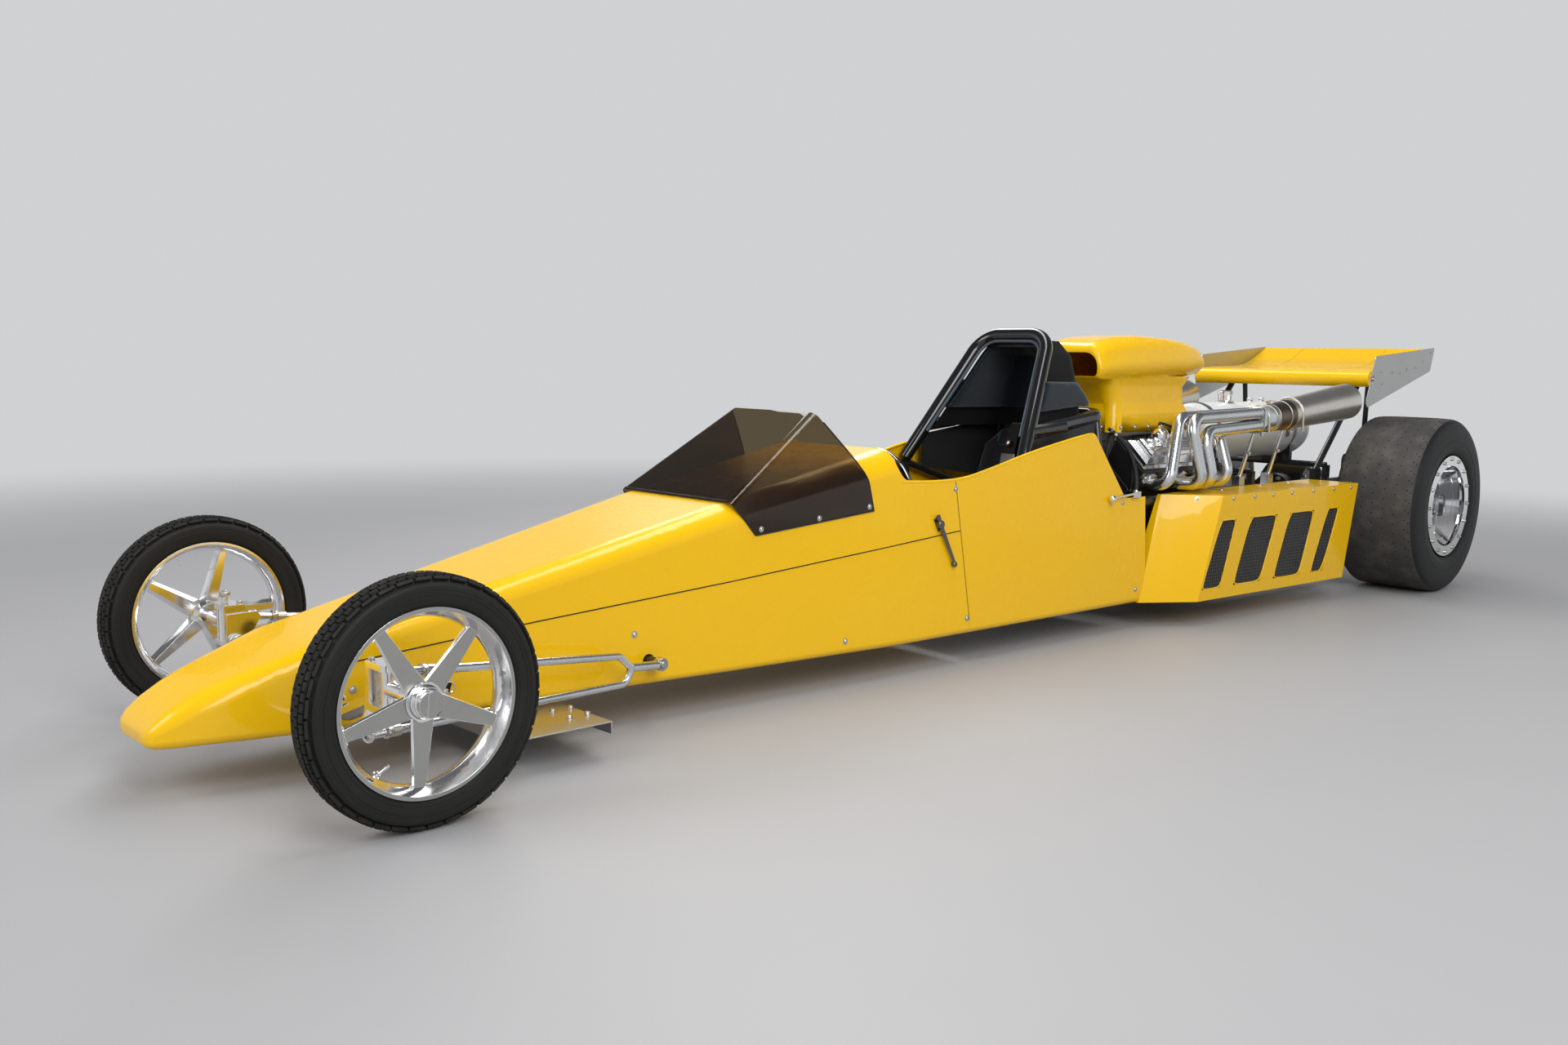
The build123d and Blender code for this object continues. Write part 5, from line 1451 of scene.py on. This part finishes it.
def wing_details():
    """Rivets in the end plates, bolts at the struts and shadow lines between the skins."""
    rivet = turned([(0, 0.0024), (0.00275, 0.00216), (0.00473, 0.00132), (0.0055, 0)], steps=12, sharp=80)
    rivets = [seat for side in SIDES for seat in side_seats("wing_end_plates", PLATE_RIVETS, side, 500)]
    fastened(rivet, rivets, "wing_rivets", "wing_plate_aluminium", "machined_face")
    studs = []
    seams = []
    for side in SIDES:
        studs.append(placed(stud_nut(0.016, 0.008), stood(166, side * 405.2, 885, (0, side, 0))))
        places = side_seats("wing_struts", ((395, 455), (395, 425)), side, 500)
        places += side_seats("frame_rails", [(x, z) for x in (-80, 80) for z in (300, 500)], side, 500)
        studs += [placed(hex_head(0.014, 0.007), place) for place in places]
    for y in (-200, 200):
        line = [met("wing", car(x, y, 1200), DOWN)[0] for x in (190, 150, 60, -40, -150, -265, -350, -440)]
        sunk = [point - Vector((0, 0, 0.0006)) for point in line if point]
        seams.append(hose(sunk, 0.0009, order=2, sides=6))
    show(studs, "strut_bolts", "frame_black", "zinc_steel")
    show(seams, "wing_skin_lines", "yellow_paint", "seal_rubber_and_seam_shadow")


def spool():
    """The spool shaft, a little slimmer where it runs inside the axle casing."""
    shaft = dress("spool_shaft", "rear_axle", "polished_aluminium", 0.0008)
    for vertex in shaft.data.vertices:
        x, z = vertex.co.x - rear_axle_x, vertex.co.z - rear_tyre_radius
        if abs(vertex.co.y) < 0.3375 and hypot(x, z) < 0.0225:
            vertex.co.x = rear_axle_x + x * 0.97
            vertex.co.z = rear_tyre_radius + z * 0.97


def driveline_details():
    """Ribs and bolts on the gearbox and the axle casing."""
    seat = stood(650, 0, CRANK_HEIGHT, AHEAD)
    ribs = [brick((0.007, 0.005, 0.26), (0.1045, 0, 0.162), 0.0015, seat @ turn(pi * index / 6))
            for index in range(12)]
    show(ribs, "gearbox_ribs", "cast_aluminium")
    bolts = [seat @ place @ turn(pi, "X") for place in circle(12, 0.111, 0.306, pi / 12)]
    for side in SIDES:
        face = stood(0, side * 95.0, AXLE_HEIGHT, (0, side, 0))
        bolts += [face @ place for place in circle(12, 0.12, 0, pi / 12)]
    front = stood(190.0, 0, AXLE_HEIGHT, AHEAD)
    bolts += [front @ place for place in circle(8, 0.08, 0, pi / 8)]
    fastened(hex_head(0.015, 0.008), bolts, "driveline_bolts", "cast_aluminium")


# The solids whose shape stays as it is. Columns: piece, solid, finish, edge rounding
DRESSED = [
    ("frame_tubes", "frame_rails", "frame_black"),
    ("cage_tubes", "roll_cage", "cage_black"),
    ("nose_deck_shell", "nose_deck", "yellow_paint"),
    ("lower_body_shell", "lower_body", "yellow_paint"),
    ("side_panel_shell_left", "side_panel_left", "yellow_paint", 0.0025),
    ("side_panel_shell_right", "side_panel_right", "yellow_paint", 0.0025),
    ("pod_screens", "pod_mesh", "mesh_black"),
    ("screen", "windscreen", "smoke_screen"),
    ("cage_shroud_shell", "cage_shroud", "cage_black", 0.001),
    ("liner_panel", "cockpit_liner", "panel_black", 0.0008),
    ("floor_sheet", "floor_pan", "floor_aluminium", 0.0005),
    ("front_channel", "front_plate", "floor_aluminium", 0.0005),
    ("axle_beam", "front_axle", "polished_aluminium", 0.001),
    ("hairpin_rods", "radius_rods", "header_steel"),
    ("knuckle_left_body", "knuckle_left", "polished_aluminium", 0.001),
    ("knuckle_right_body", "knuckle_right", "polished_aluminium", 0.001),
    ("tie_rod_bar", "tie_rod", "header_steel", 0.0005),
    ("column_tube", "steering_column", "frame_black", 0.0006),
    ("block_and_heads", "engine_block", "engine_black", 0.002),
    ("motor_plate_sheets", "motor_plates", "floor_aluminium", 0.0006),
    ("valve_cover_pair", "valve_covers", "polished_aluminium", 0.006),
    ("manifold", "intake_manifold", "cast_aluminium", 0.004),
    ("scoop_shell", "scoop", "yellow_paint"),
    ("header_pipes", "headers", "header_steel"),
    ("exhaust_saddles", "silencer_hangers", "header_steel", 0.0006),
    ("transmission", "gearbox", "cast_aluminium", 0.002),
    ("axle_casing", "rear_axle_housing", "frame_black", 0.002),
    ("fuel_tank", "tank", "tank_white"),
    ("tank_saddles", "tank_mounts", "frame_black", 0.0008),
    ("wing_skin", "wing", "yellow_paint", 0.0006),
    ("end_plates", "wing_end_plates", "wing_plate_aluminium", 0.0006),
    ("struts", "wing_struts", "frame_black", 0.0006),
    ("lever", "gear_lever", "polished_aluminium", 0.0006),
    ("rear_wheel_left_rim", "rear_wheel_left", "chrome_rim", 0.001),
    ("rear_wheel_right_rim", "rear_wheel_right", "chrome_rim", 0.001),
]


def build():
    studio()
    for row in DRESSED:
        dress(*row)
    for side, rest_angle in ((1, 86), (-1, 105)):
        front_tyre(side)
        front_wheel(side, rest_angle)
    for make in (body_seams, rolled_edges, body_screws, body_latches, side_hole_rings, screen_trim,
                 axle_details, head_lining, hoop_piping, seat_cushions, harness, hand_wheel,
                 valve_cover_details, spark_leads, port_flanges, collector_details, silencer_pair,
                 pipe_slip_joints, scoop_screws, rail_bolts, breather_band, engine_hoses, pod_wires,
                 window_frames, pod_screws, tank_trim, wing_details):
        make()
    for side in SIDES:
        rear_tyre(side)
        rear_wheel_details(side)
    spool()
    driveline_details()


build()
deselect()
